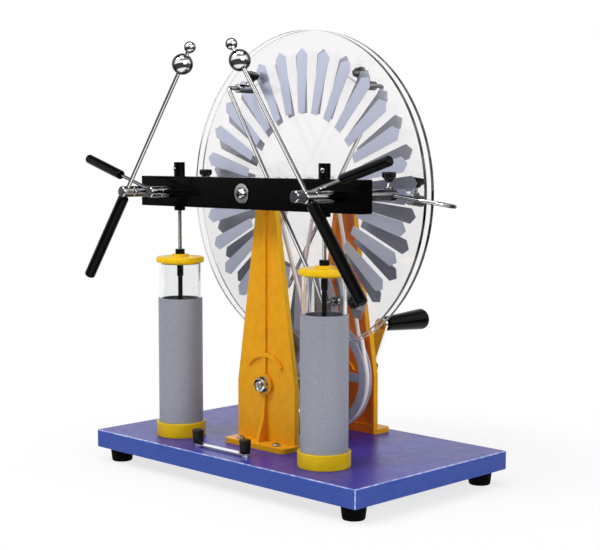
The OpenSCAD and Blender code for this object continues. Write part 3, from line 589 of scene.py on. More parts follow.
PULLEY_GREY = Finish(
    "pulley_grey", "grey_plastic", "#a1a3b6", "#adafc1", (0.3, 0.45), grain=200.0, bump=0.1, depth=0.04,
)
# Chrome with a painted dark reflection along its grazing edges; the bright bar has none.
CHROME = Finish(
    "chrome_plate", "bright_metal", "#e9eaec", "#f2f2f4", (0.04, 0.1),
    grain=500.0, bump=0.05, depth=0.01, metallic=1.0, edge="#2c2d31",
)
BRIGHT_BAR = replace(CHROME, name="bright_bar", edge="")
STEEL = Finish(
    "turned_steel", "plain_steel", "#a9aaad", "#bfc0c2", (0.22, 0.36),
    grain=1500.0, bump=0.2, metallic=1.0,
)
STUD_STEEL = replace(
    STEEL, name="stud_steel", slot="bright_metal", colour="#8f9094", fleck="#a6a7aa", gloss=(0.18, 0.3)
)
END_STEEL = replace(STUD_STEEL, name="end_steel", colour="#55565a", fleck="#66676b", gloss=(0.16, 0.26))
BRASS = Finish(
    "turned_brass", "brass_metal", "#c79a46", "#dcb565", (0.16, 0.3), grain=900.0, metallic=1.0,
)
SECTOR_FOIL = Finish(
    "sector_foil", "sector_foil", "#cfd5ec", "#d6dbf0", (0.3, 0.38),
    grain=900.0, bump=0.08, depth=0.01, metallic=0.78,
)
SECTOR_BACK = Finish(
    "sector_back", "sector_foil", "#999ba9", "#a0a2af", (0.3, 0.4),
    grain=900.0, bump=0.05, depth=0.01, metallic=0.3, shine=0.3,
)
JAR_FOIL = Finish(
    "jar_foil", "jar_foil", "#8e919d", "#9fa2ae", (0.5, 0.64),
    grain=1300.0, bump=0.25, depth=0.03, metallic=0.25,
)
DARK_FOIL = Finish(
    "inner_foil", "jar_foil", "#56575c", "#66676c", (0.4, 0.6), grain=900.0, metallic=0.5,
)
CLEAR_SHEET = ClearFinish("clear_sheet", "clear_plastic", "#fbfafa", "#ffffff", (0.0, 0.008), grain=30.0)
CLEAR_RIM = ClearFinish("clear_rim", "clear_plastic", "#b4b9bd", "#c0c5c8", (0.16, 0.3), grain=200.0)
CLEAR_TUBE = ClearFinish("clear_tube", "clear_plastic", "#fafbfc", "#ffffff", (0.0, 0.012), grain=60.0)
BELT_CORD = Finish(
    "belt_cord", "belt_cord", "#f4e8e2", "#f9f0eb", (0.4, 0.55), grain=700.0, bump=0.15, depth=0.03,
)


class RepeatTree(Graph):
    """A Geometry Nodes tree that ends in plain mesh with one material."""

    def __init__(self, name: str, inputs: Sequence[tuple[str, str]]) -> None:
        """Starts a tree with named inputs beside its geometry."""
        super().__init__(bpy.data.node_groups.new(name, "GeometryNodeTree"))
        sockets = self.tree.interface
        sockets.new_socket("Geometry", in_out="INPUT", socket_type="NodeSocketGeometry")
        for word, kind in [*inputs, ("Finish", "NodeSocketMaterial")]:
            sockets.new_socket(word, in_out="INPUT", socket_type=kind)
        sockets.new_socket("Geometry", in_out="OUTPUT", socket_type="NodeSocketGeometry")
        self.source = self.add("NodeGroupInput")
        self.copies = self.add("GeometryNodeInstanceOnPoints")
        self.turn = self.add("FunctionNodeEulerToRotation")
        real = self.add("GeometryNodeRealizeInstances")
        painted = self.add("GeometryNodeSetMaterial")
        end = self.add("NodeGroupOutput")
        self.join(self.turn.outputs[0], self.copies.inputs["Rotation"])
        self.join(self.copies.outputs[0], real.inputs[0])
        self.join(real.outputs[0], painted.inputs["Geometry"])
        self.join(self.source.outputs["Finish"], painted.inputs["Material"])
        self.join(painted.outputs[0], end.inputs[0])

    def run(self, data: bpy.types.Mesh, values: dict[str, object]) -> bpy.types.Mesh:
        """Evaluates the tree.

        Args:
            data: Mesh that enters the tree.
            values: Value of each named input.

        Returns:
            The tree's result as a plain mesh.
        """
        holder = scene_object("repeat", data)
        modifier = holder.modifiers.new("repeat", "NODES")
        modifier.node_group = self.tree
        for item in self.tree.interface.items_tree:
            if item.in_out == "INPUT" and item.name in values:
                modifier[item.identifier] = values[item.name]
        return modified(holder)


class RingTree(RepeatTree):
    """Sets copies of a piece evenly round the Y axis."""

    def __init__(self) -> None:
        """Builds the tree."""
        super().__init__("ring_of_copies", [("Count", "NodeSocketInt"), ("Start", "NodeSocketFloat")])
        points = self.add("GeometryNodePoints")
        step = self.add("ShaderNodeMath")
        step.operation = "DIVIDE"
        step.inputs[0].default_value = 2 * math.pi
        angle = self.add("ShaderNodeMath")
        angle.operation = "MULTIPLY_ADD"
        index = self.add("GeometryNodeInputIndex")
        euler = self.add("ShaderNodeCombineXYZ")
        self.join(self.source.outputs["Count"], points.inputs["Count"])
        self.join(self.source.outputs["Count"], step.inputs[1])
        self.join(index.outputs[0], angle.inputs[0])
        self.join(step.outputs[0], angle.inputs[1])
        self.join(self.source.outputs["Start"], angle.inputs[2])
        self.join(angle.outputs[0], euler.inputs["Y"])
        self.join(euler.outputs[0], self.turn.inputs[0])
        self.join(points.outputs[0], self.copies.inputs["Points"])
        self.join(self.source.outputs["Geometry"], self.copies.inputs["Instance"])


class PlaceTree(RepeatTree):
    """Sets copies of a piece at points that carry a turn."""

    TURN = "turn"

    def __init__(self) -> None:
        """Builds the tree."""
        super().__init__("copies_at_places", [("Piece", "NodeSocketObject")])
        piece = self.add("GeometryNodeObjectInfo")
        turn = self.add("GeometryNodeInputNamedAttribute")
        turn.data_type = "FLOAT_VECTOR"
        turn.inputs["Name"].default_value = self.TURN
        self.join(self.source.outputs["Piece"], piece.inputs["Object"])
        self.join(turn.outputs[0], self.turn.inputs[0])
        self.join(self.source.outputs["Geometry"], self.copies.inputs["Points"])
        self.join(piece.outputs["Geometry"], self.copies.inputs["Instance"])


class Workshop:
    """The Geometry Nodes trees, made once and shared by every assembly."""

    ring: RingTree
    places: PlaceTree
    bench: Bench

    @classmethod
    def open(cls) -> Bench:
        """Builds the trees and measures the CAD model."""
        cls.ring = RingTree()
        cls.places = PlaceTree()
        cls.bench = Bench.read()
        return cls.bench


class Solid:
    """A mesh under construction, in millimetres about the disc plane."""

    def __init__(self) -> None:
        """Starts empty."""
        self.mesh = bmesh.new()

    def skin(self, rings: Sequence[Sequence[Vector]], closed: bool = False, finish: int = 0) -> "Solid":
        """Joins rings of points with faces.

        Args:
            rings: Rings of equal count, where a ring of one point is a pole.
            closed: Whether the last ring joins the first.
            finish: Index of the faces' finish.

        Returns:
            This solid.
        """
        made = [[self.mesh.verts.new(point) for point in ring] for ring in rings]
        pairs = list(zip(made, made[1:]))
        if closed:
            pairs.append((made[-1], made[0]))
        for low, high in pairs:
            for step in range(max(len(low), len(high))):
                ahead = step + 1
                corners = [
                    low[step % len(low)],
                    low[ahead % len(low)],
                    high[ahead % len(high)],
                    high[step % len(high)],
                ]
                corners = list(dict.fromkeys(corners))
                if len(corners) > 2:
                    self.mesh.faces.new(corners).material_index = finish
        return self

    def turned(
        self, profile: Profile, place: Matrix, steps: int = 48, closed: bool = False, lobes: int = 0,
        flute: float = 0.0, finish: int = 0,
    ) -> "Solid":
        """Turns a profile about local Z, with flutes where they are asked for.

        Args:
            profile: Radius and height of each point.
            place: Where the solid goes.
            steps: Segments round the axis.
            closed: Whether the profile closes on itself, as a ring's does.
            lobes: Flutes round the axis.
            flute: Depth of a flute as a share of the radius.
            finish: Index of the faces' finish.

        Returns:
            This solid.
        """
        rings = []
        for radius, height in profile:
            if radius < 1e-6:
                rings.append([place @ Vector((0, 0, height))])
                continue
            ring = []
            for step in range(steps):
                angle = 2 * math.pi * step / steps
                wave = (0.5 + 0.5 * math.cos(lobes * angle)) ** 2 if lobes else 0.0
                reach = radius * (1 - flute * wave)
                ring.append(place @ polar(reach, angle, height))
            rings.append(ring)
        return self.skin(rings, closed, finish)

    def rod(
        self, diameter: float, low: float, high: float, place: Matrix, edge: float = 0.5, steps: int = 40
    ) -> "Solid":
        """A round bar along local Z with softened ends.

        Args:
            diameter: Diameter of the bar.
            low: Where it starts.
            high: Where it ends.
            place: Where the bar goes.
            edge: Radius of its end edges.
            steps: Segments round the axis.

        Returns:
            This solid.
        """
        radius = diameter / 2
        corners = [(0, low), (radius, low), (radius, high), (0, high)]
        return self.turned(rounded(corners, edge), place, steps=steps)

    def ring(
        self, outer: float, inner: float, low: float, high: float, place: Matrix, edge: float = 0.3,
        steps: int = 48,
    ) -> "Solid":
        """A tube or washer along local Z.

        Args:
            outer: Outer diameter.
            inner: Inner diameter.
            low: Where it starts.
            high: Where it ends.
            place: Where it goes.
            edge: Radius of its edges.
            steps: Segments round the axis.

        Returns:
            This solid.
        """
        corners = [(inner / 2, low), (outer / 2, low), (outer / 2, high), (inner / 2, high)]
        return self.turned(rounded(corners, edge, closed=True), place, steps=steps, closed=True)

    def nut(self, flats: float, bore: float, height: float, place: Matrix) -> "Solid":
        """A hexagon nut on local Z with turned corners.

        Args:
            flats: Width across the flats.
            bore: Diameter of the bore.
            height: Height of the nut.
            place: Where the nut's seat goes.

        Returns:
            This solid.
        """
        steps = 48
        inner = flats / 2 * 0.96
        turns = [2 * math.pi * step / steps for step in range(steps)]
        reach = []
        for turn in turns:
            off = (turn + math.pi / 6) % (math.pi / 3) - math.pi / 6
            reach.append(flats / 2 / math.cos(off))
        drop = [(far - inner) * math.tan(math.radians(30)) for far in reach]
        rings = [
            [(inner, 0.0) for _ in turns],
            [(far, low) for far, low in zip(reach, drop)],
            [(far, height - low) for far, low in zip(reach, drop)],
            [(inner, height) for _ in turns],
            [(bore / 2 + 0.4, height) for _ in turns],
            [(bore / 2, height - 0.4) for _ in turns],
            [(bore / 2, 0.0) for _ in turns],
        ]
        points = []
        for ring in rings:
            points.append([place @ polar(far, turn, up) for (far, up), turn in zip(ring, turns)])
        return self.skin(points, True)

    def thread(self, diameter: float, low: float, high: float, pitch: float, place: Matrix) -> "Solid":
        """A screw thread along local Z.

        Args:
            diameter: Outer diameter.
            low: Where the thread starts.
            high: Where it ends.
            pitch: Rise of one turn.
            place: Where the thread goes.

        Returns:
            This solid.
        """
        sides = 20
        rows = max(8, round((high - low) / pitch * 4))
        rings = [[place @ Vector((0, 0, low))]]
        for row in range(rows + 1):
            up = low + (high - low) * row / rows
            end = min(1.0, 0.75 + 0.25 * min(up - low, high - up) / pitch)
            ring = []
            for side in range(sides):
                phase = (up / pitch - side / sides) % 1.0
                reach = diameter / 2 * end - pitch * 0.45 * abs(2 * phase - 1)
                angle = 2 * math.pi * side / sides
                ring.append(place @ polar(reach, angle, up))
            rings.append(ring)
        rings.append([place @ Vector((0, 0, high))])
        return self.skin(rings)

    def swept(
        self, path: Sequence[Vector], diameter: float, sides: int, closed: bool = False
    ) -> "Solid":
        """A round bar along a path.

        Args:
            path: Points of the bar's middle line.
            diameter: Diameter of the bar.
            sides: Segments round the bar.
            closed: Whether the path closes on itself.

        Returns:
            This solid.
        """
        count = len(path)
        radius = diameter / 2
        upright = Vector((0, 1, 0))
        rings = []
        for index, here in enumerate(path):
            before = path[index - 1] if index or closed else here
            after = path[(index + 1) % count] if index < count - 1 or closed else here
            along = (after - before).normalized()
            if not closed and index == 0 and abs(along.dot(upright)) > 0.7:
                upright = Vector((1, 0, 0))
            out = along.cross(upright).normalized()
            upright = out.cross(along) if not closed else upright
            up = out.cross(along)
            turns = [2 * math.pi * side / sides for side in range(sides)]
            rings.append([here + radius * (math.cos(t) * out + math.sin(t) * up) for t in turns])
        if not closed:
            for end, inward in ((0, 1), (-1, -2)):
                away = (path[end] - path[inward]).normalized() * radius * 0.12
                small = [path[end] + (point - path[end]) * 0.85 + away for point in rings[end]]
                if end == 0:
                    rings = [[path[0] + away], small, *rings]
                else:
                    rings = [*rings, small, [path[-1] + away]]
        return self.skin(rings, closed)

    def plate(self, outline: Sequence, low: float, high: float, place: Matrix, edge: float) -> "Solid":
        """A flat outline with thickness along local Z and softened edges.

        Args:
            outline: Corners in local X and Y.
            low: Where the thickness starts.
            high: Where it ends.
            place: Where the plate goes.
            edge: Width of the softened edges.

        Returns:
            This solid.
        """
        work = bmesh.new()
        base = work.faces.new([work.verts.new((corner[0], corner[1], low)) for corner in outline])
        grown = bmesh.ops.extrude_face_region(work, geom=[base])
        raised = [item for item in grown["geom"] if isinstance(item, bmesh.types.BMVert)]
        bmesh.ops.translate(work, verts=raised, vec=(0, 0, high - low))
        bmesh.ops.recalc_face_normals(work, faces=work.faces)
        soften(work, edge)
        return self.absorb(work, place)

    def copy_of(self, node: str, edge: float) -> "Solid":
        """A CAD node with its sharp edges softened.

        Args:
            node: Name of the node.
            edge: Width of the softened edges.

        Returns:
            This solid.
        """
        work = bmesh.new()
        work.from_mesh(bpy.data.objects[node].data)
        work.transform(Workshop.bench.to_frame().inverted())
        bmesh.ops.remove_doubles(work, verts=work.verts, dist=0.002)
        flat = math.radians(0.5)
        bmesh.ops.dissolve_limit(work, angle_limit=flat, verts=work.verts, edges=work.edges)
        soften(work, edge)
        return self.absorb(work, Matrix())

    def absorb(self, work: bmesh.types.BMesh, place: Matrix) -> "Solid":
        """Takes in another mesh, with its first finish, and frees it."""
        work.transform(place)
        for face in work.faces:
            face.material_index = 0
        passing = bpy.data.meshes.new("passing")
        work.to_mesh(passing)
        work.free()
        self.mesh.from_mesh(passing)
        bpy.data.meshes.remove(passing)
        return self

    def plain_mesh(self) -> bpy.types.Mesh:
        """Closes the solid and gives its mesh, still in millimetres."""
        bmesh.ops.remove_doubles(self.mesh, verts=self.mesh.verts, dist=0.0005)
        bmesh.ops.recalc_face_normals(self.mesh, faces=self.mesh.faces)
        data = bpy.data.meshes.new("solid")
        self.mesh.to_mesh(data)
        self.mesh.free()
        return data

    def round_axis(self, unit: "Solid", count: int, start: float, place: Matrix, finish: Finish) -> "Solid":
        """Adds copies of a unit evenly round the Y axis, by Geometry Nodes.

        Args:
            unit: Solid drawn about the origin.
            count: Number of copies.
            start: Turn of the first copy in degrees.
            place: Where the ring's middle goes.
            finish: Finish of the copies.

        Returns:
            This solid.
        """
        values = {"Count": count, "Start": math.radians(start), "Finish": finish.material()}
        return self.take(Workshop.ring.run(unit.plain_mesh(), values), place)

    def at_places(self, unit: "Solid", places: Sequence[Matrix], finish: Finish) -> "Solid":
        """Adds a copy of a unit at each place, by Geometry Nodes.

        Args:
            unit: Solid drawn about the origin.
            places: Where the copies go.
            finish: Finish of the copies.

        Returns:
            This solid.
        """
        points = bpy.data.meshes.new("places")
        points.from_pydata([place.to_translation() for place in places], [], [])
        turns = points.attributes.new(PlaceTree.TURN, "FLOAT_VECTOR", "POINT")
        for entry, place in zip(turns.data, places):
            entry.vector = place.to_euler()
        piece = bpy.data.objects.new("unit", unit.plain_mesh())
        values = {"Piece": piece, "Finish": finish.material()}
        result = Workshop.places.run(points, values)
        bpy.data.objects.remove(piece)
        return self.take(result, Matrix())

    def take(self, data: bpy.types.Mesh, place: Matrix) -> "Solid":
        """Takes in a plain mesh and removes it."""
        work = bmesh.new()
        work.from_mesh(data)
        bpy.data.meshes.remove(data)
        return self.absorb(work, place)

    def cut(self, cutter: "Solid") -> "Solid":
        """Takes another solid out of this one."""
        holder = scene_object("whole", self.plain_mesh())
        tool = scene_object("cutter", cutter.plain_mesh())
        holder.modifiers.new("cut", "BOOLEAN").object = tool
        result = modified(holder)
        bpy.data.objects.remove(tool)
        self.mesh = bmesh.new()
        self.mesh.from_mesh(result)
        bpy.data.meshes.remove(result)
        return self


def soften(work: bmesh.types.BMesh, edge: float) -> None:
    """Bevels the sharp edges of a mesh."""
    if edge <= 0:
        return
    sharp = [item for item in work.edges if item.calc_face_angle(0.0) > math.radians(28)]
    bmesh.ops.bevel(
        work, geom=sharp, offset=edge, segments=2, profile=0.5, affect="EDGES", clamp_overlap=True
    )


def smooth_shaded(data: bpy.types.Mesh) -> bpy.types.Mesh:
    """Gives a mesh smooth shading in which flat faces stay flat.

    Args:
        data: Mesh to shade, which is removed.

    Returns:
        The shaded mesh, with normals weighted by the area of the faces.
    """
    data.shade_smooth()
    data.set_sharp_from_angle(angle=math.radians(SMOOTH_ANGLE))
    holder = scene_object("shading", data)
    holder.modifiers.new("shading", "WEIGHTED_NORMAL").keep_sharp = True
    result = modified(holder)
    bpy.data.meshes.remove(data)
    return result


@dataclass
class Piece:
    """A finished piece that stands for one CAD node."""

    node: str
    solid: Solid
    finishes: tuple[Finish, ...]

    def hand_over(self, bodies: dict[str, str]) -> None:
        """Makes the object and gives it to the frame.

        Args:
            bodies: Body of each CAD node.
        """
        data = self.solid.plain_mesh()
        data.transform(Workshop.bench.to_frame())
        for finish in self.finishes:
            data.materials.append(finish.material())
        data = smooth_shaded(data)
        data.name = self.node + NAME_TAIL
        piece = scene_object(self.node + NAME_TAIL, data)
        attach(piece, bodies[self.node])
        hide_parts(self.node)
        LOG.info("%s rides on %s, %d faces", piece.name, bodies[self.node], len(data.polygons))


@dataclass
class Base:
    """Laminated base board on four rubber feet."""

    bench: Bench
    width: float = 360.0
    depth: float = 214.0
    thickness: float = 18.0
    forward: float = 16.0
    edge: float = 0.9
    foot_d: float = 23.0
    foot_low_d: float = 20.0
    foot_h: float = 14.0
    foot_inset: float = 18.0
    recess_r: float = 3.4
    recess_h: float = 3.0

    def pieces(self) -> Iterator[Piece]:
        """The board and its feet."""
        yield Piece("base_board", self.board(), (BOARD_TOP_PAINTED_SHADE, BOARD_SIDE_PAINTED_LIT, BOARD_EDGE_HIGHLIGHT))
        yield Piece("rubber_feet", self.feet(), (RUBBER,))

    def board(self) -> Solid:
        """A board with a painted-shade top, painted-lit sides and a painted highlight along its upper edges
        and corners.
        """
        corners = oblong(self.width / 2, -self.depth / 2, self.depth / 2)
        top = self.bench.base_top
        solid = Solid()
        solid.plate(corners, top - self.thickness, top, shift(0, -self.forward, 0), edge=self.edge)
        # Top faces take painted shade, sides and lower bevels painted light, upper bevels the painted
        # highlight.
        for face in solid.mesh.faces:
            straight = max(abs(part) for part in face.normal) > 0.99
            low = face.normal.z < -0.1
            if straight:
                face.material_index = 0 if face.normal.z > 0.5 else 1
            else:
                face.material_index = 1 if low else 2
        return solid

    def feet(self) -> Solid:
        """Tapered feet with a screw recess below and a seat ring above."""
        low = self.foot_low_d / 2
        high = self.foot_d / 2
        step = self.recess_h
        profile = [
            (0, step), (self.recess_r, step), (self.recess_r, 0), (low, 0), (low + 0.6, step),
            (high, self.foot_h - step), (high, self.foot_h), (0, self.foot_h),
        ]
        unit = Solid().turned(rounded(profile, 1.1), Matrix(), steps=56)
        x = self.width / 2 - self.foot_inset
        y = self.depth / 2 - self.foot_inset
        places = [shift(sx * x, sy * y - self.forward, 0) for sx in (-1, 1) for sy in (-1, 1)]
        return Solid().at_places(unit, places, RUBBER)


@dataclass
class Uprights:
    """The two moulded uprights and the screws in their feet."""

    bench: Bench
    edge: float = 0.7
    foot_t: float = 5.0
    screw_x: float = 25.0
    screw_out: float = 9.9
    head_d: float = 8.0
    head_h: float = 2.6
    shank_r: float = 1.9
    shank_l: float = 3.0
    slot_half: float = 2.5
    slot_thin: float = 0.45

    def pieces(self) -> Iterator[Piece]:
        """Both uprights and their screws."""
        for face in Face:
            node = face.word + "_upright"
            solid = Solid().copy_of(node, edge=self.edge)
            for side in solid.mesh.faces:
                side.material_index = self.tone(side, face)
            yield Piece(node, solid, (AMBER, AMBER_PAINTED_SHADE, AMBER_PAINTED_LIT, AMBER_RIB_PAINTED_SHADE))
        yield Piece("upright_screws", self.screws(), (STUD_STEEL,))

    def tone(self, side: bmesh.types.BMFace, face: Face) -> int:
        """Finish of a moulded face, with painted light and shade: painted shade on the rear upright's front
        face and on the right and lower sides of ribs, arc and boss, and painted light on flanks facing
        right.

        Args:
            side: Face of the mesh.
            face: Which upright it belongs to.

        Returns:
            Index of the finish.
        """
        centre = side.calc_center_median()
        if face is Face.REAR:
            # Painted shade on the rear upright's front face, which lies in shadow behind the discs.
            return int(side.normal.y < -0.9)
        raised = centre.y < -self.bench.upright_y - 0.2 and centre.z > self.bench.base_top + self.foot_t + 1
        # Painted shade on the sides of ribs, arc and boss that face right or down.
        if raised and side.normal.y > -0.5 and max(side.normal.x, -side.normal.z) > 0.4:
            return 3
        # Painted light on the flanks that face the lamp on the right.
        return 2 if side.normal.x > 0.8 and not raised else 0

    def screws(self) -> Solid:
        """Pan-head screws with a cross recess."""
        radius = self.head_d / 2
        height = self.head_h
        dome = [(0, -self.shank_l), (self.shank_r, -self.shank_l), (self.shank_r, 0)]
        dome += [(radius, 0), (radius, height * 0.35)]
        dome += [(radius * 0.86, height * 0.78), (radius * 0.5, height), (0, height)]
        unit = Solid().turned(rounded(dome, 0.5), Matrix(), steps=40)
        bar = oblong(self.slot_half, -self.slot_thin, self.slot_thin)
        for turn in (0, 90):
            cutter = Solid().plate(bar, height * 0.35, height + 1, spin("Z", turn + 20), edge=0)
            unit.cut(cutter)
        top = self.bench.base_top + self.foot_t
        out = self.bench.upright_y + self.screw_out
        rows = (-out, out + self.bench.rear_set)
        spots = [(side.value, y) for side in Side for y in rows]
        places = [shift(way * self.screw_x, y, top) @ spin("Z", 37 * way + y) for way, y in spots]
        return Solid().at_places(unit, places, STUD_STEEL)


def groove(belt_r: float, middle: float) -> list[Span]:
    """Profile of a belt's groove and the edges of the rim beside it.

    Args:
        belt_r: Radius of the belt's middle line.
        middle: Height of the belt's middle line.

    Returns:
        Radius and height of each point.
    """
    rim = belt_r + GROOVE_RIM
    floor = belt_r - GROOVE_DEPTH
    return [
        (rim, middle - GROOVE_MOUTH), (floor, middle - GROOVE_FLOOR),
        (floor, middle + GROOVE_FLOOR), (rim, middle + GROOVE_MOUTH),
    ]


def nut_on_washer(solid: Solid, bore: float, place: Matrix, turn: float = 0.0) -> None:
    """Adds a washer and a hexagon nut along local Z.

    Args:
        solid: Solid that takes them.
        bore: Diameter of their bores.
        place: Where the washer's seat goes.
        turn: Turn of the nut in degrees.
    """
    solid.ring(NUT_WASHER_D, bore, 0, NUT_WASHER_T, place)
    solid.nut(NUT_FLATS, bore, NUT_H, place @ shift(0, 0, NUT_WASHER_T) @ spin("Z", turn))


@dataclass
class DiscAxle:
    """The fixed axle of the discs, its bolt, nut and spacers."""

    bench: Bench
    upright_t: float = 6.0
    tail: float = 6.5
    washer_d: float = 19.0
    washer_t: float = 1.5
    head_d: float = 11.0
    head_h: float = 4.0
    socket: float = 5.0
    socket_depth: float = 2.2
    spacer_d: float = 14.0
    stud_d: float = 5.0
    stud_l: float = 19.0
    stud_gap: float = 0.2
    middle_half: float = 2.92

    def pieces(self) -> Iterator[Piece]:
        """The axle and what is fixed on it."""
        at = shift(0, 0, self.bench.axle) @ TO_BACK
        rear = self.bench.upright_y + self.bench.rear_set
        axle = Solid().rod(self.bench.axle_d, 1 - self.bench.beam_front, rear - 2, at)
        axle.thread(self.bench.axle_d, rear - 4, rear + self.tail, AXLE_PITCH, at)
        yield Piece("main_axle", axle, (STEEL,))
        yield Piece("beam_bolt", self.bolt(), (CHROME,))
        nut = Solid()
        nut_on_washer(nut, self.bench.axle_d, at @ shift(0, 0, rear))
        yield Piece("axle_nut", nut, (STEEL,))
        yield Piece("axle_spacers", self.spacers(at), (STEEL,))

    def spacers(self, at: Matrix) -> Solid:
        """Spacers behind the beam, between the discs and in front of the rear upright.

        Args:
            at: Place of the axle.

        Returns:
            The spacers as one solid.
        """
        inside = self.bench.upright_y - self.upright_t
        rows = [
            (-self.bench.beam_back, -self.bench.upright_y, 0.5),
            (-self.middle_half, self.middle_half, 0.3),
            (inside, inside + self.bench.rear_set, 0.5),
        ]
        solid = Solid()
        for low, high, edge in rows:
            solid.ring(self.spacer_d, self.bench.axle_d, low, high, at, edge=edge)
        return solid

    def bolt(self) -> Solid:
        """A button-head bolt with a hexagon socket, on a wide washer."""
        at = shift(0, -self.bench.beam_front, self.bench.axle) @ TO_FRONT
        radius = self.head_d / 2
        top = self.washer_t + self.head_h
        profile = [(0, self.washer_t), (radius, self.washer_t), (radius, self.washer_t + 1.2)]
        profile += [(radius * 0.84, top - 0.8), (radius * 0.6, top), (0, top)]
        head = Solid().turned(rounded(profile, 0.5), at, steps=48)
        key = self.socket / 2 / math.cos(math.radians(30))
        hexagon = arc((0, 0), key, 10, 310, steps=5)
        head.cut(Solid().plate(hexagon, top - self.socket_depth, top + 1, at, edge=0))
        head.ring(self.washer_d, self.stud_d + self.stud_gap, 0, self.washer_t, at, edge=0.45, steps=64)
        return head.rod(self.stud_d, -self.stud_l, 0.5, at)


@dataclass
class Discs:
    """The two clear discs with their foil sectors and hubs."""

    bench: Bench
    diameter: float = 313.96
    thickness: float = 4.0
    gap: float = 6.0
    bore: float = 16.1
    count: int = 28
    inner_r: float = 77.0
    outer_r: float = 134.0
    tip: float = 6.0
    inner_w: float = 9.0
    outer_w: float = 14.5
    foil: float = 0.4
    front_turn: float = 0.9
    rear_turn: float = -4.3
    axle_bore: float = 8.16
    spigot_d: float = 16.0
    flange_d: float = 28.0
    flange_t: float = 4.0
    body_d: float = 18.0

    @property
    def out(self) -> float:
        """Outer face of a disc, from the disc plane."""
        return self.gap / 2 + self.thickness

    def pieces(self) -> Iterator[Piece]:
        """Disc, sectors and hub of both faces."""
        for face in Face:
            turn = self.front_turn if face is Face.FRONT else self.rear_turn
            yield Piece(face.word + "_disc", self.disc(face), (CLEAR_SHEET, CLEAR_RIM))
            yield Piece(face.word + "_sectors", self.sectors(face, turn), (SECTOR_FOIL, SECTOR_BACK))
            yield Piece(face.word + "_hub", self.hub(face), (PULLEY_GREY,))

    def disc(self, face: Face) -> Solid:
        """A polished disc with a sawn rim and a small chamfer on it."""
        at = shift(0, 0, self.bench.axle) @ face.axis
        solid = Solid().ring(self.diameter, self.bore, self.gap / 2, self.out, at, edge=0.35, steps=192)
        solid.mesh.normal_update()
        for side in solid.mesh.faces:
            side.material_index = int(abs(side.normal.y) < 0.9)
        return solid

    def sectors(self, face: Face, turn: float) -> Solid:
        """Pointed foil sectors all round one disc.

        Args:
            face: Face of the disc pair.
            turn: Turn of the first sector in degrees.

        Returns:
            The sectors as one solid.
        """
        inner = self.inner_w / 2
        outer = self.outer_w / 2
        corners = [
            (-inner, self.inner_r), (inner, self.inner_r), (outer, self.outer_r),
            (0, self.outer_r + self.tip), (-outer, self.outer_r),
        ]
        outline = rounded(corners, 0.5, closed=True, steps=2)
        unit = Solid().plate(outline, self.out, self.out + self.foil, face.flat, edge=0.1)
        solid = Solid().round_axis(unit, self.count, turn, shift(0, 0, self.bench.axle), SECTOR_FOIL)
        for side in solid.mesh.faces:
            side.material_index = int(side.normal.y * face.value < -0.9)
        return solid

    def hub(self, face: Face) -> Solid:
        """A flanged hub with a grooved pulley."""
        rim = self.bench.hub_r + GROOVE_RIM
        low = self.bench.belt_y - self.bench.pulley_w / 2
        high = self.bench.belt_y + self.bench.pulley_w / 2
        bore = self.axle_bore / 2
        spigot = self.spigot_d / 2
        flange = self.flange_d / 2
        body = self.body_d / 2
        shoulder = self.out + self.flange_t
        profile = [
            (bore, self.gap / 2), (spigot, self.gap / 2), (spigot, self.out), (flange, self.out),
            (flange, shoulder), (body, shoulder), (body, low), (rim, low),
            *groove(self.bench.hub_r, self.bench.belt_y), (rim, high), (bore, high),
        ]
        at = shift(0, 0, self.bench.axle) @ face.axis
        return Solid().turned(rounded(profile, 0.6, closed=True), at, steps=64, closed=True)


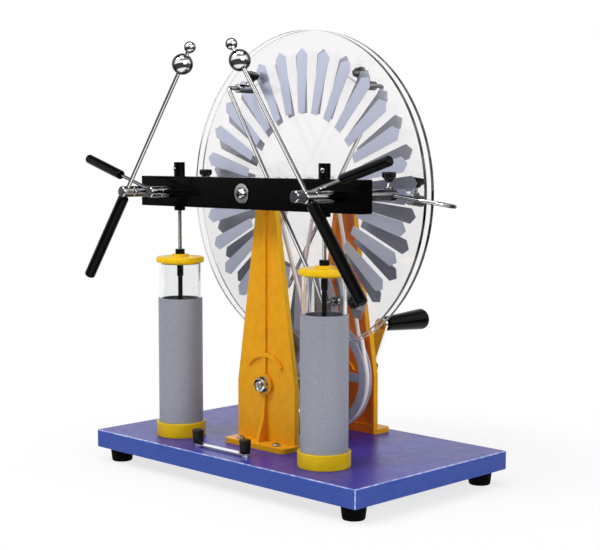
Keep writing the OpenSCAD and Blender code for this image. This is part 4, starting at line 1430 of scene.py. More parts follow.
@dataclass
class Drive:
    """Crank, crank axle, drive pulleys and belts."""

    bench: Bench
    belt_d: float = 4.0
    drive_r: float = 53.0
    rim_depth: float = 9.0
    spokes: int = 6
    spoke_w: float = 9.0
    spoke_t: float = 4.0
    hub_d: float = 22.0
    front_nut: float = 58.8
    sleeve_y: float = 67.8
    sleeve_d: float = 14.0
    arm_y: float = 92.5
    arm_t: float = 3.5
    arm_w: float = 13.0
    crank_r: float = 50.5
    crank_turn: float = 22.0
    grip_y: float = 98.5
    grip_l: float = 61.0
    grip_in_d: float = 15.0
    grip_out_d: float = 22.0
    grip_end: float = 5.0
    pin_d: float = 6.0
    pin_head: float = 1.2
    pin_share: float = 0.8
    nut_turn: float = 14.0
    tail: float = 6.5

    def pieces(self) -> Iterator[Piece]:
        """The whole drive."""
        for face in Face:
            yield Piece(face.word + "_drive_pulley", self.pulley(face), (PULLEY_GREY,))
        routes = {"front_belt": self.crossed_route(), "rear_belt": self.open_route()}
        for node, route in routes.items():
            yield Piece(node, Solid().swept(route, self.belt_d, sides=16, closed=True), (BELT_CORD,))
        yield Piece("crank_axle", self.axle(), (STEEL,))
        yield Piece("crank_nuts", self.nuts(), (CHROME,))
        at = shift(0, 0, self.bench.crank) @ TO_BACK
        sleeve = Solid().ring(self.sleeve_d, self.bench.axle_d, self.sleeve_y, self.arm_y, at, edge=0.6)
        yield Piece("crank_sleeve", sleeve, (STEEL,))
        yield Piece("crank_arm", self.arm(), (BRIGHT_BAR,))
        yield Piece("crank_pin", self.pin(), (BRASS,))
        yield Piece("crank_handle", self.handle(), (GRIP_BLACK,))

    def pulley(self, face: Face) -> Solid:
        """A grooved wheel with flat spokes."""
        at = shift(0, 0, self.bench.crank) @ face.axis @ shift(0, 0, self.bench.belt_y)
        rim = self.drive_r + GROOVE_RIM
        inner = rim - self.rim_depth
        half = self.bench.pulley_w / 2
        profile = [
            (inner, -half), (rim, -half), *groove(self.drive_r, 0), (rim, half), (inner, half),
        ]
        wheel = Solid().turned(rounded(profile, 1.0, closed=True), at, steps=144, closed=True)
        wheel.ring(self.hub_d, self.bench.axle_d, -half, half, at, edge=0.8)
        bar = oblong(self.spoke_w / 2, self.bench.axle_d, inner + 1)
        thick = self.spoke_t / 2
        unit = Solid().plate(bar, self.bench.belt_y - thick, self.bench.belt_y + thick, face.flat, edge=1.0)
        half_step = 180 / self.spokes
        return wheel.round_axis(unit, self.spokes, half_step, shift(0, 0, self.bench.crank), PULLEY_GREY)

    def open_route(self) -> list[Vector]:
        """Route of the straight belt, behind the discs."""
        span = self.bench.axle - self.bench.crank
        lean = math.degrees(math.asin((self.drive_r - self.bench.hub_r) / span))
        low = arc((0, self.bench.crank), self.drive_r, 180 - lean, 360 + lean, steps=72)
        high = arc((0, self.bench.axle), self.bench.hub_r, lean, 180 - lean, steps=32)
        return [Vector((x, self.bench.belt_y, z)) for x, z in low + high]

    def crossed_route(self) -> list[Vector]:
        """Route of the crossed belt, in front, whose runs pass beside each other."""
        span = self.bench.axle - self.bench.crank
        lean = math.degrees(math.asin((self.drive_r + self.bench.hub_r) / span))
        low = arc((0, self.bench.crank), self.drive_r, 180 - lean, 360 + lean, steps=72)
        high = arc((0, self.bench.axle), self.bench.hub_r, 180 + lean, -lean, steps=40)
        crossing = self.drive_r / (self.drive_r + self.bench.hub_r)
        aside = self.belt_d / 2 + FREE_GAP
        route = [Vector((x, -self.bench.belt_y, z)) for x, z in low]
        route += self.passing(low[-1], high[0], crossing, aside)
        route += [Vector((x, -self.bench.belt_y, z)) for x, z in high]
        route += self.passing(high[-1], low[0], 1 - crossing, -aside)
        return route

    def passing(self, start: Vector, end: Vector, crossing: float, aside: float) -> list[Vector]:
        """A straight run that steps aside where it meets the other run.

        Args:
            start: First point in X and Z.
            end: Last point in X and Z.
            crossing: Share of the run at which the two meet.
            aside: How far the run steps aside along Y.

        Returns:
            Points between the two ends.
        """
        points = []
        steps = 24
        for step in range(1, steps):
            part = step / steps
            near = part / crossing if part < crossing else (1 - part) / (1 - crossing)
            x, z = start.lerp(end, part)
            points.append(Vector((x, aside * near * near * (3 - 2 * near) - self.bench.belt_y, z)))
        return points

    def axle(self) -> Solid:
        """The crank axle, threaded at both ends."""
        at = shift(0, 0, self.bench.crank) @ TO_BACK
        front = FREE_GAP - self.front_nut - self.tail
        rear = self.arm_y + self.arm_t + self.tail
        solid = Solid().rod(self.bench.axle_d, front + 8, rear - 8, at)
        solid.thread(self.bench.axle_d, front, front + 9, AXLE_PITCH, at)
        return solid.thread(self.bench.axle_d, rear - 9, rear, AXLE_PITCH, at)

    def nuts(self) -> Solid:
        """Washers and nuts at both ends of the crank axle."""
        front = shift(0, -self.front_nut, self.bench.crank) @ TO_FRONT
        rear = shift(0, self.arm_y + self.arm_t, self.bench.crank) @ TO_BACK
        solid = Solid()
        for at in (front, rear):
            nut_on_washer(solid, self.bench.axle_d, at, self.nut_turn)
        return solid

    def arm(self) -> Solid:
        """A flat crank arm with round ends."""
        half = self.arm_w / 2
        hub = half + 2
        side = math.degrees(math.acos(half / hub))
        outline = arc((0, self.crank_r), half, 0, 180, steps=20)
        outline += arc((0, 0), hub, 180 - side, 360 + side, steps=32)
        at = shift(0, 0, self.bench.crank) @ spin("Y", self.crank_turn) @ TO_FRONT
        return Solid().plate(outline, -self.arm_y - self.arm_t, -self.arm_y, at, edge=0.6)

    def crank_end(self) -> Matrix:
        """Place of the crank handle's axis, with local Z to the back."""
        middle = shift(0, 0, self.bench.crank) @ spin("Y", self.crank_turn)
        return middle @ shift(0, 0, self.crank_r) @ TO_BACK

    def pin(self) -> Solid:
        """A brass pin with a riveted head and a collar."""
        at = self.crank_end()
        head = self.arm_w * 0.4
        low = self.arm_y - self.pin_head
        solid = Solid().rod(self.pin_d, self.arm_y, self.grip_y + self.grip_l * self.pin_share, at)
        dome = [(0, low), (head * 0.55, low), (head, low + 0.6), (head, self.arm_y), (0, self.arm_y)]
        solid.turned(rounded(dome, 0.3), at, steps=40)
        return solid.rod(self.pin_d + 3, self.arm_y + self.arm_t, self.grip_y - FREE_GAP, at, edge=0.4)

    def handle(self) -> Solid:
        """A tapered handle with a rounded end."""
        inner = self.grip_in_d / 2
        middle = self.grip_out_d / 2 - self.grip_end
        shoulder = self.grip_l - self.grip_end
        depth = self.grip_l * self.pin_share + FREE_GAP
        bore = self.pin_d / 2 + TURN_GAP
        profile = [(0, depth), (bore, depth), (bore, 0)]
        profile += [(inner - 0.8, 0), (inner - 0.2, 0.25), (inner, 0.9)]
        profile += [tuple(point) for point in arc((middle, shoulder), self.grip_end, 0, 90, steps=10)]
        profile += [(0, self.grip_l)]
        return Solid().turned(profile, self.crank_end() @ shift(0, 0, self.grip_y), steps=64)


def grip_profile(diameter: float, length: float) -> list[Vector]:
    """Profile of a plain round grip, with a shallow dish in its far end.

    Args:
        diameter: Diameter of the grip.
        length: Length of the grip.

    Returns:
        Radius and height of each point.
    """
    radius = diameter / 2
    edge = 2.0
    side = [(0, 0), (radius - 0.7, 0), (radius - 0.1, 1.2), (radius, length * 0.5)]
    dish = [(radius * 0.56, length), (radius * 0.46, length - 0.35), (0, length - 0.35)]
    end = arc((radius - edge - 0.05, length - edge), edge, 0, 90, steps=6)
    return rounded(side, edge, steps=4) + end + rounded(dish, edge, steps=4)


@dataclass
class Terminals:
    """Cross beam, posts, bushes, electrodes and contact levers."""

    bench: Bench
    beam_l: float = 302.0
    beam_h: float = 30.0
    electrode_y: float = 124.0
    lever_y: float = 110.0
    head_l: float = 13.0
    spigot_d: float = 5.0
    rod_d: float = 4.0
    rod_l: float = 148.5
    rod_seat: float = 20.0
    lean: float = 35.7
    ball_d: float = 20.0
    tip_d: float = 11.0
    tip_gap: float = 18.5
    neck_d: float = 4.0
    grip_d: float = 11.0
    grip_l: float = 100.0
    grip_gap: float = 1.5
    lever_d: float = 3.5
    lever_l: float = 54.0
    lever_grip_d: float = 9.6
    lever_grip_l: float = 57.0
    bush_d: float = 11.0
    bush_up: float = 14.0
    bush_down: float = 4.0
    socket_d: float = 4.0
    socket_depth: float = 12.0
    set_screw_turn: float = 24.0
    set_screw_drop: float = 6.4

    def pieces(self) -> Iterator[Piece]:
        """Everything on the beam."""
        yield Piece("cross_beam", self.beam(), (GLOSS_BLACK,))
        yield Piece("terminal_posts", self.terminal_posts(), (CHROME,))
        yield Piece("terminal_bushes", self.bushes(), (GRIP_BLACK, CHROME))
        for side in Side:
            yield Piece(side.word + "_conductor_post", self.conductor_post(side), (CHROME,))
            yield from self.electrode(side)
            yield from self.lever(side)

    def beam(self) -> Solid:
        """A glossy bar with fine rounded edges."""
        outline = oblong(self.beam_l / 2, -self.beam_h / 2, self.beam_h / 2)
        at = shift(0, 0, self.bench.axle) @ TO_FRONT
        return Solid().plate(outline, self.bench.beam_back, self.bench.beam_front, at, edge=0.7)

    def headed_post(self, solid: Solid, x: float, pivot: float, rear: float) -> None:
        """Adds a post along Y with a spigot for its turning head.

        Args:
            solid: Solid that takes the post.
            x: Distance from the middle.
            pivot: Distance of the head's middle in front of the disc plane.
            rear: Rear end of the post.
        """
        at = shift(x, 0, self.bench.axle) @ TO_BACK
        front = self.head_l / 2 + FREE_GAP - pivot
        solid.rod(self.bench.post_d, front, rear, at, edge=0.7, steps=48)
        solid.rod(self.spigot_d, front - 3, front + 1, at, edge=0.2)

    def conductor_post(self, side: Side) -> Solid:
        """The outer post that runs from an electrode back to its collector."""
        solid = Solid()
        self.headed_post(solid, side.value * self.bench.conductor_x, self.electrode_y, -self.bench.post_end)
        return solid

    def terminal_posts(self) -> Solid:
        """The two short inner posts."""
        solid = Solid()
        rear = 0.5 - self.bench.beam_front
        for side in Side:
            self.headed_post(solid, side.value * self.bench.jar_x, self.lever_y, rear)
        return solid

    def bushes(self) -> Solid:
        """Black bushes through the beam, each with a plug socket and a set screw."""
        solid = Solid()
        low = self.bench.axle - self.beam_h / 2 - self.bush_down
        high = self.bench.axle + self.beam_h / 2 + self.bush_up
        radius = self.bush_d / 2
        hole = self.socket_d / 2
        profile = [
            (0, low), (radius, low), (radius, high), (hole + 0.5, high), (hole, high - 0.6),
            (hole, high - self.socket_depth), (0, high - self.socket_depth),
        ]
        for side in Side:
            right = shift(self.bench.jar_x, self.bench.beam_y, 0)
            solid.turned(rounded(profile, 0.5), side.place(right), steps=48)
            level = right @ shift(0, 0, high - self.set_screw_drop)
            screw = level @ spin("Z", self.set_screw_turn) @ TO_FRONT
            dish = [(0, 4.0), (2.0, 4.0), (2.0, 5.7), (1.6, 5.9), (0.7, 5.9), (0.6, 5.3), (0, 5.3)]
            solid.turned(dish, side.place(screw), steps=28, finish=1)
        return solid

    def turning_head(self, solid: Solid, place: Matrix) -> None:
        """Adds a short chromed barrel that holds a rod across it."""
        half = self.head_l / 2
        radius = self.bench.post_d / 2
        corners = [
            (0, -half), (radius - 0.7, -half), (radius, 0.7 - half), (radius, half - 0.7),
            (radius - 0.7, half), (0, half),
        ]
        solid.turned(rounded(corners, 0.4), place @ TO_BACK, steps=48)
        solid.mesh.normal_update()
        for face in solid.mesh.faces:
            face.material_index = int(abs(face.normal.y) > 0.95)

    def electrode(self, side: Side) -> Iterator[Piece]:
        """Head, rod, balls and grip of one spark electrode."""
        right = shift(self.bench.conductor_x, -self.electrode_y, self.bench.axle) @ spin("Y", -self.lean)
        at = side.place(right)
        head = Solid()
        self.turning_head(head, at)
        yield Piece(side.word + "_electrode_head", head, (CHROME, END_STEEL))
        reach = self.rod_l - self.ball_d / 4
        low = self.bench.post_d / 2 + self.grip_gap
        rod = Solid().rod(self.rod_d, -low - self.rod_seat, reach, at, edge=0.3)
        yield Piece(side.word + "_electrode_rod", rod, (CHROME,))
        yield Piece(side.word + "_spark_balls", self.balls(at), (CHROME,))
        down = at @ shift(0, 0, -low) @ spin("X", 180)
        grip = Solid().turned(grip_profile(self.grip_d, self.grip_l), down)
        yield Piece(side.word + "_electrode_handle", grip, (GRIP_BLACK,))

    def balls(self, at: Matrix) -> Solid:
        """The large ball, a waisted neck and the tip ball in one turned piece."""
        big = self.ball_d / 2
        small = self.tip_d / 2
        neck = self.neck_d / 2
        leave = math.degrees(math.asin(neck / big))
        meet = math.degrees(math.asin(neck / small))
        profile = [(p.x, p.y) for p in arc((0, 0), big, -90, 90 - leave, steps=36)]
        profile += [(neck * 0.9, (big + self.tip_gap - small) / 2)]
        profile += [(p.x, p.y) for p in arc((0, self.tip_gap), small, meet - 90, 90, steps=24)]
        profile[0] = (0, -big)
        profile[-1] = (0, self.tip_gap + small)
        return Solid().turned(profile, at @ shift(0, 0, self.rod_l), steps=64)

    def lever(self, side: Side) -> Iterator[Piece]:
        """Head and rod of one contact lever, and its grip."""
        over = (self.bench.post_d + self.lever_d) / 2 + FREE_GAP
        rise = math.degrees(math.asin(over / (self.bench.conductor_x - self.bench.jar_x)))
        right = shift(self.bench.jar_x, -self.lever_y, self.bench.axle) @ spin("Y", 90 - rise)
        at = side.place(right)
        rod = Solid()
        self.turning_head(rod, at)
        rod.rod(self.lever_d, 0, self.lever_l + self.rod_seat, at, edge=0.3)
        yield Piece(side.word + "_lever", rod, (CHROME, END_STEEL))
        profile = grip_profile(self.lever_grip_d, self.lever_grip_l)
        grip = Solid().turned(profile, at @ shift(0, 0, self.lever_l))
        yield Piece(side.word + "_lever_handle", grip, (GRIP_BLACK,))


@dataclass
class Jars:
    """The two storage jars."""

    bench: Bench
    cup_d: float = 49.4
    cup_h: float = 14.5
    cup_floor: float = 3.0
    tube_d: float = 41.6
    tube_wall: float = 2.0
    foil_t: float = 1.2
    foil_top: float = 139.0
    lap_t: float = 0.18
    liner_t: float = 0.8
    cap_z: float = 174.5
    cap_d: float = 48.0
    cap_t: float = 6.0
    collar_d: float = 17.0
    collar_h: float = 2.5
    plug_h: float = 1.5
    rod_d: float = 4.0
    stem_d: float = 4.6
    sleeve_h: float = 12.0
    sleeve_wall: float = 1.2
    nut_d: float = 9.4
    nut_h: float = 5.0
    nut_flutes: int = 20
    nut_flute: float = 0.07

    def places(self) -> list[Matrix]:
        """Axis of each jar, with its zero on the base board."""
        middle = shift(0, self.bench.beam_y, self.bench.base_top)
        return [shift(side.value * self.bench.jar_x, 0, 0) @ middle for side in Side]

    def pieces(self) -> Iterator[Piece]:
        """Both jars, piece by piece."""
        yield Piece("jar_cups", self.cups(), (CUP_YELLOW,))
        yield Piece("jar_tubes", self.tubes(), (CLEAR_TUBE,))
        yield Piece("jar_foils", self.foils(), (JAR_FOIL,))
        yield Piece("jar_liners", self.liners(), (DARK_FOIL,))
        yield Piece("jar_caps", self.caps(), (CAP_YELLOW,))
        yield Piece("jar_rods", self.rods(), (STUD_STEEL,))
        yield Piece("jar_stems", self.stems(), (KNOB_BLACK,))

    def cups(self) -> Solid:
        """Shallow cups with a softened rim."""
        outer = self.cup_d / 2
        inner = self.tube_d / 2 + self.foil_t + 2 * FIT_GAP
        profile = [
            (0, 0), (outer - 0.3, 0), (outer, self.cup_h), (inner, self.cup_h), (inner, self.cup_floor),
            (0, self.cup_floor),
        ]
        unit = Solid().turned(rounded(profile, 0.9), Matrix(), steps=96)
        return Solid().at_places(unit, self.places(), CUP_YELLOW)

    def tubes(self) -> Solid:
        """Clear tubes with polished ends."""
        solid = Solid()
        inner = self.tube_d - 2 * self.tube_wall
        for place in self.places():
            solid.ring(self.tube_d, inner, self.cup_floor, self.cap_z, place, edge=0.4, steps=112)
        return solid

    def foils(self) -> Solid:
        """Outer foil sleeves, each with a lapped seam at the back."""
        solid = Solid()
        inner = self.tube_d + 2 * FIT_GAP
        outer = inner + 2 * self.foil_t
        for place in self.places():
            solid.ring(outer, inner, self.cup_floor, self.foil_top, place, edge=0.3, steps=112)
            rings = []
            for turn in (86, 87, 90, 93, 94):
                far = outer / 2 + (0.0 if turn in (86, 94) else self.lap_t)
                near = outer / 2 - 0.4
                high = self.foil_top - 0.6
                lap = [(far, self.cup_h), (far, high), (near, high), (near, self.cup_h)]
                rings.append([place @ polar(reach, math.radians(turn), up) for reach, up in lap])
            ends = [[sum(ring, Vector()) / len(ring)] for ring in (rings[0], rings[-1])]
            solid.skin([ends[0], *rings, ends[1]])
        return solid

    def liners(self) -> Solid:
        """Inner foils with a floor."""
        solid = Solid()
        outer = self.tube_d / 2 - self.tube_wall - FIT_GAP
        inner = outer - self.liner_t
        low = self.cup_floor
        profile = [
            (0, low), (outer, low), (outer, self.foil_top), (inner, self.foil_top),
            (inner, low + self.liner_t), (0, low + self.liner_t),
        ]
        for place in self.places():
            solid.turned(rounded(profile, 0.3), place, steps=96)
        return solid

    def caps(self) -> Solid:
        """Round caps with a collar above and a plug below."""
        edge = self.cap_d / 2
        collar = self.collar_d / 2
        low = self.cap_z
        top = low + self.cap_t
        bore = self.rod_d / 2 + FIT_GAP
        plug = self.tube_d / 2 - self.tube_wall - FIT_GAP
        profile = [(bore, low - self.plug_h), (plug, low - self.plug_h), (plug, low), (edge - 1.4, low)]
        profile += [(edge - 0.3, low + 1.0), (edge, low + self.cap_t / 2), (edge - 0.3, top - 1.0)]
        profile += [(edge - 1.6, top), (collar + 0.6, top)]
        profile += [(collar, top + self.collar_h), (bore, top + self.collar_h)]
        unit = Solid().turned(rounded(profile, 0.7, closed=True), Matrix(), steps=96, closed=True)
        return Solid().at_places(unit, self.places(), CAP_YELLOW)

    def rods(self) -> Solid:
        """Threaded rods from the caps up into the bushes."""
        solid = Solid()
        low = self.cap_z - self.plug_h - 8
        high = self.bench.axle + 5.95 - self.bench.base_top
        for place in self.places():
            solid.thread(self.rod_d, low, high, SCREW_PITCH, place)
        return solid

    def stems(self) -> Solid:
        """Black stems inside the jars and the fluted nuts on the caps."""
        solid = Solid()
        low = self.cup_floor + self.liner_t
        top = self.cap_z - self.plug_h
        thin = self.stem_d / 2
        thick = self.rod_d / 2 + self.sleeve_wall
        step = top - self.sleeve_h
        stem = [(0, low), (thin, low), (thin, step), (thick, step), (thick, top), (0, top)]
        seat = self.cap_z + self.cap_t + self.collar_h
        radius = self.nut_d / 2
        bore = self.rod_d / 2 + FIT_GAP
        corners = [(bore, seat), (radius, seat), (radius, seat + self.nut_h), (bore, seat + self.nut_h)]
        nut = rounded(corners, 0.5, closed=True)
        for place in self.places():
            solid.turned(rounded(stem, 0.3), place, steps=32)
            solid.turned(nut, place, steps=120, closed=True, lobes=self.nut_flutes, flute=self.nut_flute)
        return solid


def clamp_screw(solid: Solid, low: float, seat: float, top: float, place: Matrix) -> None:
    """Adds a clamp screw along local Z with a round lock nut.

    Args:
        solid: Solid that takes the screw.
        low: Lower end of the screw.
        seat: Underside of the lock nut.
        top: Upper end of the screw.
        place: Where the screw goes.
    """
    solid.thread(SCREW_D, low, top, SCREW_PITCH, place)
    corners = [(0, 0), (3.9, 0), (4.25, 0.5), (4.25, 2.6), (3.4, 3.5), (0, 3.5)]
    solid.turned(rounded(corners, 0.3), place @ shift(0, 0, seat), steps=40)


def lobed_knob() -> Solid:
    """A six-lobed knob that stands on the origin."""
    profile = [
        (0, 0), (3.3, 0), (3.7, 1.0), (4.4, 2.4), (6.0, 3.6), (6.5, 4.6), (6.5, 7.6), (6.1, 8.6),
        (5.2, 9.0), (3.2, 9.0), (2.6, 8.6), (0, 8.6),
    ]
    return Solid().turned(rounded(profile, 0.4, steps=2), Matrix(), steps=72, lobes=6, flute=0.2)


@dataclass
class Collectors:
    """Collector forks round the discs' edges, and their clamps."""

    bench: Bench
    fork_y: float = 20.0
    reach: float = 58.0
    droop: float = 6.5
    tilt: float = 8.0
    fork_d: float = 4.0
    tail: float = 8.5
    leg_steps: int = 8
    clamp_l: float = 18.0
    wire_d: float = 0.8
    wire_tip: float = 8.4
    screw_low: float = 2.3
    nut_seat: float = 4.0
    screw_top: float = 12.0
    knob_turn: float = 17.0

    def post(self) -> Matrix:
        """Place of the fork's front clamp on the right post."""
        return shift(self.bench.conductor_x, -self.fork_y, self.bench.axle)

    def fork_place(self) -> Matrix:
        """Place of the right fork, with its front leg along local X."""
        return self.post() @ spin("Y", self.droop) @ spin("X", -self.tilt)

    def screw_places(self) -> list[Matrix]:
        """Places of the four clamp screws."""
        rights = [self.post(), self.fork_place() @ shift(0, 2 * self.fork_y, 0)]
        return [side.place(right) for side in Side for right in rights]

    def pieces(self) -> Iterator[Piece]:
        """Forks, clamps, screws and knobs."""
        yield Piece("collector_forks", self.forks(), (CHROME,))
        yield Piece("collector_clamps", self.clamps(), (CHROME,))
        screws = Solid()
        for place in self.screw_places():
            clamp_screw(screws, self.screw_low, self.nut_seat, self.screw_top, place)
        yield Piece("clamp_screws", screws, (CHROME,))
        seat = shift(0, 0, self.screw_top) @ spin("Z", self.knob_turn)
        seats = [place @ seat for place in self.screw_places()]
        yield Piece("clamp_knobs", Solid().at_places(lobed_knob(), seats, KNOB_BLACK), (KNOB_BLACK,))

    def forks(self) -> Solid:
        """Bent rods that go round the discs' edges."""
        bend = self.reach - self.fork_y - self.fork_d / 2
        leg = bend + self.tail
        shares = [step / self.leg_steps for step in range(self.leg_steps)]
        line = [Vector((leg * share - self.tail, 0)) for share in shares]
        line += arc((bend, self.fork_y), self.fork_y, -90, 90, steps=32)
        line += [Vector((leg * share - self.tail, 2 * self.fork_y)) for share in reversed(shares)]
        solid = Solid()
        for side in Side:
            place = self.fork_place() if side is Side.RIGHT else ACROSS @ self.fork_place()
            solid.swept([place @ Vector((p.x, p.y, 0)) for p in line], self.fork_d, sides=20)
        return solid

    def clamps(self) -> Solid:
        """Rear clamps and the brush wires of both discs."""
        solid = Solid()
        for side in Side:
            fork = side.place(self.fork_place()) @ TO_BACK
            post = side.place(self.post()) @ TO_BACK
            front = self.fork_y - self.bench.post_end
            rear = self.fork_y + self.bench.post_end
            solid.rod(self.bench.post_d, rear, rear + self.clamp_l, fork, edge=0.7, steps=48)
            solid.rod(self.wire_d, self.fork_y + self.wire_tip, rear + 1, fork, edge=0.2, steps=12)
            solid.rod(self.wire_d, front - 1, self.fork_y - self.wire_tip, post, edge=0.2, steps=12)
        return solid


@dataclass
class Neutralisers:
    """The two turning rods whose brushes touch the discs."""

    bench: Bench
    lean: float = 32.5
    length: float = 121.0
    rod_d: float = 4.0
    rod_in: float = 6.0
    middle_y: float = 43.5
    collar_d: float = 18.0
    collar_in: float = 38.3
    collar_out: float = 48.7
    bore: float = 8.16
    clamp_d: float = 9.0
    clamp_in: float = 10.4
    clamp_l: float = 21.0
    screw_y: float = 15.9
    nut_seat: float = 2.5
    screw_top: float = 8.25
    knob_turn: float = 12.0
    screw_turn: float = 57.0
    wire_d: float = 0.8
    wire_l: float = 18.0
    wire_tip: float = 8.2
    bend_r: float = 4.0

    def middle(self, face: Face) -> Matrix:
        """Place of one neutraliser, with its rod along local Z."""
        return face.about @ shift(0, 0, self.bench.axle) @ spin("Y", -self.lean)

    def ends(self, face: Face) -> list[Matrix]:
        """Place of each half of one neutraliser."""
        return [self.middle(face) @ spin("Y", turn) for turn in (0, 180)]

    def screws(self, face: Face) -> list[Matrix]:
        """Places of the brush screws, which lean to the same side at both ends."""
        turns = (self.screw_turn, -self.screw_turn)
        foot = shift(0, -self.screw_y, self.length)
        return [end @ foot @ spin("Y", turn) for end, turn in zip(self.ends(face), turns)]

    def pieces(self) -> Iterator[Piece]:
        """Rod and knobs of both neutralisers."""
        for face in Face:
            yield Piece(face.word + "_neutraliser", self.rod(face), (CHROME,))
            seat = shift(0, 0, self.screw_top) @ spin("Z", self.knob_turn)
            seats = [place @ seat for place in self.screws(face)]
            knobs = Solid().at_places(lobed_knob(), seats, KNOB_BLACK)
            yield Piece(face.word + "_brush_knobs", knobs, (KNOB_BLACK,))

    def rod(self, face: Face) -> Solid:
        """Collar, bent rods, brush clamps, screws and wires of one neutraliser."""
        middle = self.middle(face) @ TO_BACK
        solid = Solid().ring(self.collar_d, self.bore, -self.collar_out, -self.collar_in, middle, edge=0.8)
        far = self.clamp_in + self.clamp_l
        top = self.length
        line = rounded(
            [(0, -self.middle_y, self.rod_in), (0, -self.middle_y, top), (0, 1 - far, top)],
            self.bend_r, steps=8,
        )
        wire = [Vector((0, -self.clamp_in - self.wire_d, top)), Vector((self.wire_l, -self.wire_tip, top))]
        for end in self.ends(face):
            solid.swept([end @ point for point in line], self.rod_d, sides=20)
            clamp = end @ shift(0, 0, top) @ TO_BACK
            solid.rod(self.clamp_d, -far, -self.clamp_in, clamp, edge=0.7, steps=44)
            solid.swept([end @ point for point in wire], self.wire_d, sides=10)
        for place in self.screws(face):
            clamp_screw(solid, 0, self.nut_seat, self.screw_top, place)
        return solid


@dataclass
class JarLink:
    """The strip that joins the two jars, between its terminals."""

    bench: Bench
    x: float = -45.5
    y: float = -102.5
    length: float = 67.0
    washer_d: float = 9.5
    washer_t: float = 1.2
    knob_low_d: float = 9.8
    knob_d: float = 11.4
    knob_h: float = 13.5
    knob_seat: float = 3.0
    flutes: int = 14
    flute: float = 0.06

    def places(self) -> list[Matrix]:
        """Axis of each terminal, with its zero on the base board."""
        return [shift(x, self.y, self.bench.base_top) for x in (self.x, self.x + self.length)]

    def pieces(self) -> Iterator[Piece]:
        """Studs, knobs and strip."""
        studs = Solid()
        for place in self.places():
            studs.rod(self.washer_d, 0, self.washer_t, place, edge=0.3)
            studs.thread(SCREW_D, -6, self.knob_seat + self.knob_h / 2, SCREW_PITCH, place)
        yield Piece("link_posts", studs, (CHROME,))
        yield Piece("link_knobs", Solid().at_places(self.knob(), self.places(), KNOB_BLACK), (KNOB_BLACK,))
        yield Piece("link_strip", Solid().copy_of("link_strip", edge=0.25), (BRIGHT_BAR,))

    def knob(self) -> Solid:
        """A tapered knob with fine flutes and a plain foot."""
        low = self.knob_seat
        top = low + self.knob_h
        wide = self.knob_d / 2
        profile = [
            (0, low), (self.knob_low_d / 2 - 0.5, low), (self.knob_low_d / 2, low + 1), (wide, top - 1),
            (wide - 0.9, top), (0, top),
        ]
        shape = rounded(profile, 0.6)
        return Solid().turned(shape, Matrix(), steps=112, lobes=self.flutes, flute=self.flute)


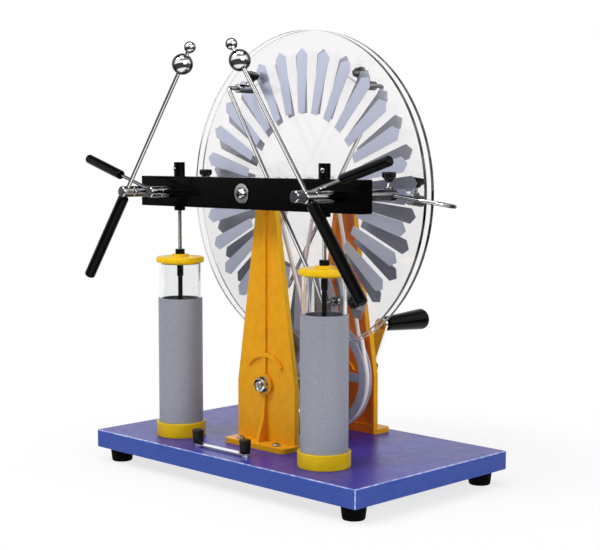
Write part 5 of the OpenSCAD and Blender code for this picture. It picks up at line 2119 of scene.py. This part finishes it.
@dataclass
class Studio:
    """White sweep, soft lamps and the camera of the portrait."""

    bench: Bench
    floor_size: float = 6.0
    lens: float = 81.94
    sensor: float = 36.0
    camera_at: Triple = (945.8, -960.0, 316.5)
    camera_tilt: float = 84.85
    camera_heading: float = 44.81
    ambient: float = 0.27
    lit_share: float = 0.25
    shadow_reach: Span = (0.2, 0.4)
    table_edge: Span = (0.42, 0.62)
    sweep_side: Triple = (-0.7, 0.7, 0.0)
    sweep_start: Span = (0.2, 0.5)
    sweep_turn: Span = (0.75, 0.95)
    panel: Triple = (-0.17, 0.11, 1.0)
    panel_edge: Span = (-0.03, 0.07)
    ceiling: Span = (0.55, 0.78)
    room_light: float = 0.05

    def build(self) -> None:
        """Sets up everything that isn't the object."""
        self.floor()
        self.world()
        self.lamp("key_lamp", (-0.5, -1.4, 1.7), (0.0, 0.0, 0.2), size=0.8, power=22.0)
        self.lamp("fill_lamp", (1.9, -0.5, 0.9), (0.0, 0.0, 0.2), size=1.2, power=15.5)
        self.lamp("top_lamp", (0.1, -0.1, 1.9), (0.0, 0.0, 0.1), size=1.4, power=16.0)
        self.camera()
        bpy.context.scene.view_settings.view_transform = "Standard"

    @staticmethod
    def sight(graph: Graph) -> tuple[Socket, Socket]:
        """Tells apart what the camera sees from the light that falls on matt surfaces.

        Args:
            graph: Tree that takes the nodes.

        Returns:
            1 on rays that the camera sees straight, through glass or in a mirror, and 1 on mirrored rays.
        """
        path = graph.add("ShaderNodeLightPath").outputs
        clear = graph.math("MAXIMUM", path["Is Camera Ray"], path["Is Transmission Ray"])
        clear = graph.math("MAXIMUM", clear, path["Is Glossy Ray"])
        seen = graph.math("MULTIPLY", clear, graph.math("LESS_THAN", path["Diffuse Depth"], 0.5))
        return seen, graph.math("GREATER_THAN", path["Glossy Depth"], 0.5)

    def floor(self) -> None:
        """A white floor that keeps a soft shadow near the object."""
        half = self.floor_size / 2
        data = bpy.data.meshes.new("floor")
        corners = [(-half, -half, 0), (half, -half, 0), (half, half, 0), (-half, half, 0)]
        data.from_pydata(corners, [], [(0, 1, 2, 3)])
        floor = scene_object("floor", data)
        material = bpy.data.materials.new("floor_white")
        material.use_nodes = True
        graph = Graph(material.node_tree)
        output = graph.add("ShaderNodeOutputMaterial")
        matt = graph.add("ShaderNodeBsdfDiffuse")
        matt.inputs["Color"].default_value = (0.88, 0.88, 0.88, 1)
        glow = graph.add("ShaderNodeEmission")
        seen, mirror = self.sight(graph)
        place = graph.add("ShaderNodeTexCoord").outputs["Object"]
        reach = graph.add("ShaderNodeVectorMath")
        reach.operation = "LENGTH"
        graph.join(place, reach.inputs[0])
        off_table = graph.ranged(reach.outputs["Value"], self.table_edge, (0.0, 1.0))
        in_front = graph.ranged(graph.along(place, self.sweep_side), self.sweep_start, (1.0, 0.0))
        dim = graph.math("MULTIPLY", graph.math("MULTIPLY", off_table, in_front), mirror)
        dim = graph.math("MULTIPLY", dim, 1.0 - self.room_light)
        graph.join(graph.math("SUBTRACT", 1.0, dim), glow.inputs["Strength"])
        bare = graph.ranged(reach.outputs["Value"], self.shadow_reach, (1 - self.lit_share, 1.0))
        share = graph.math("MULTIPLY", seen, bare)
        shown = graph.mixed_shader(share, matt.outputs[0], glow.outputs[0])
        graph.join(shown, output.inputs["Surface"])
        data.materials.append(material)
        floor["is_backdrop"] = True

    def world(self) -> None:
        """A white backdrop, a darker room in front of the object, and an even soft light."""
        world = bpy.data.worlds.new("studio")
        bpy.context.scene.world = world
        world.use_nodes = True
        graph = Graph(world.node_tree)
        output = graph.add("ShaderNodeOutputWorld")
        light = graph.add("ShaderNodeBackground")
        light.inputs["Color"].default_value = (1, 1, 1, 1)
        seen, mirror = self.sight(graph)
        way = graph.add("ShaderNodeTexCoord").outputs["Generated"]
        height = graph.along(way, (0.0, 0.0, 1.0))
        lamps = graph.ranged(graph.along(way, self.panel), self.panel_edge, (self.room_light, 1.0))
        behind = graph.ranged(graph.along(way, self.sweep_side), self.sweep_turn, (0.0, 1.0))
        ceiling = graph.ranged(height, self.ceiling, (1.0, self.room_light))
        room = graph.math("MINIMUM", graph.math("MAXIMUM", lamps, behind), ceiling)
        backdrop = graph.math("MAXIMUM", graph.math("SUBTRACT", 1.0, mirror), room)
        shown = graph.math("MULTIPLY", seen, backdrop)
        soft = graph.math("MULTIPLY", graph.math("SUBTRACT", 1.0, seen), self.ambient)
        graph.join(graph.math("ADD", shown, soft), light.inputs["Strength"])
        graph.join(light.outputs[0], output.inputs["Surface"])

    def lamp(self, name: str, place: Triple, target: Triple, size: float, power: float) -> None:
        """A square soft lamp.

        Args:
            name: Name of the lamp.
            place: Where it hangs.
            target: Where it points.
            size: Side of the lamp in metres.
            power: Power in watts.
        """
        data = bpy.data.lights.new(name, "AREA")
        data.size = size
        data.energy = power
        lamp = scene_object(name, data)
        lamp.location = place
        lamp.rotation_euler = (Vector(target) - Vector(place)).to_track_quat("-Z", "Y").to_euler()

    def camera(self) -> None:
        """The camera at the photograph's viewing angle."""
        data = bpy.data.cameras.new("portrait")
        data.lens = self.lens
        data.sensor_fit = "HORIZONTAL"
        data.sensor_width = self.sensor
        camera = scene_object("portrait", data)
        camera.location = self.bench.to_frame() @ Vector(self.camera_at)
        camera.rotation_euler = (math.radians(self.camera_tilt), 0.0, math.radians(self.camera_heading))
        bpy.context.scene.camera = camera


def write_sizes(cad: Sequence) -> None:
    """Gathers the CAD box and the visual model's box into rows.

    Args:
        cad: Lowest and highest corner of the CAD model.
    """
    boxes = {"cad": cad, "visual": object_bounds()}
    rows = {word: [list(corner) for corner in box] for word, box in boxes.items()}


def main() -> None:
    """Loads the frame, builds every assembly and sets up the studio."""
    logging.basicConfig(level=logging.INFO, format="%(message)s")
    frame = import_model()
    cad = [corner.copy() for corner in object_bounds()]
    groups = frame["record"]["behaviour"]["bodies"]
    bodies = {node: body for body, nodes in groups.items() for node in nodes}
    bench = Workshop.open()
    for assembly in (
        Base(bench), Uprights(bench), DiscAxle(bench), Discs(bench), Drive(bench), Terminals(bench),
        Jars(bench), Collectors(bench), Neutralisers(bench), JarLink(bench),
    ):
        for piece in assembly.pieces():
            piece.hand_over(bodies)
    Studio(bench).build()
    write_sizes(cad)


if __name__ == "__main__":
    main()
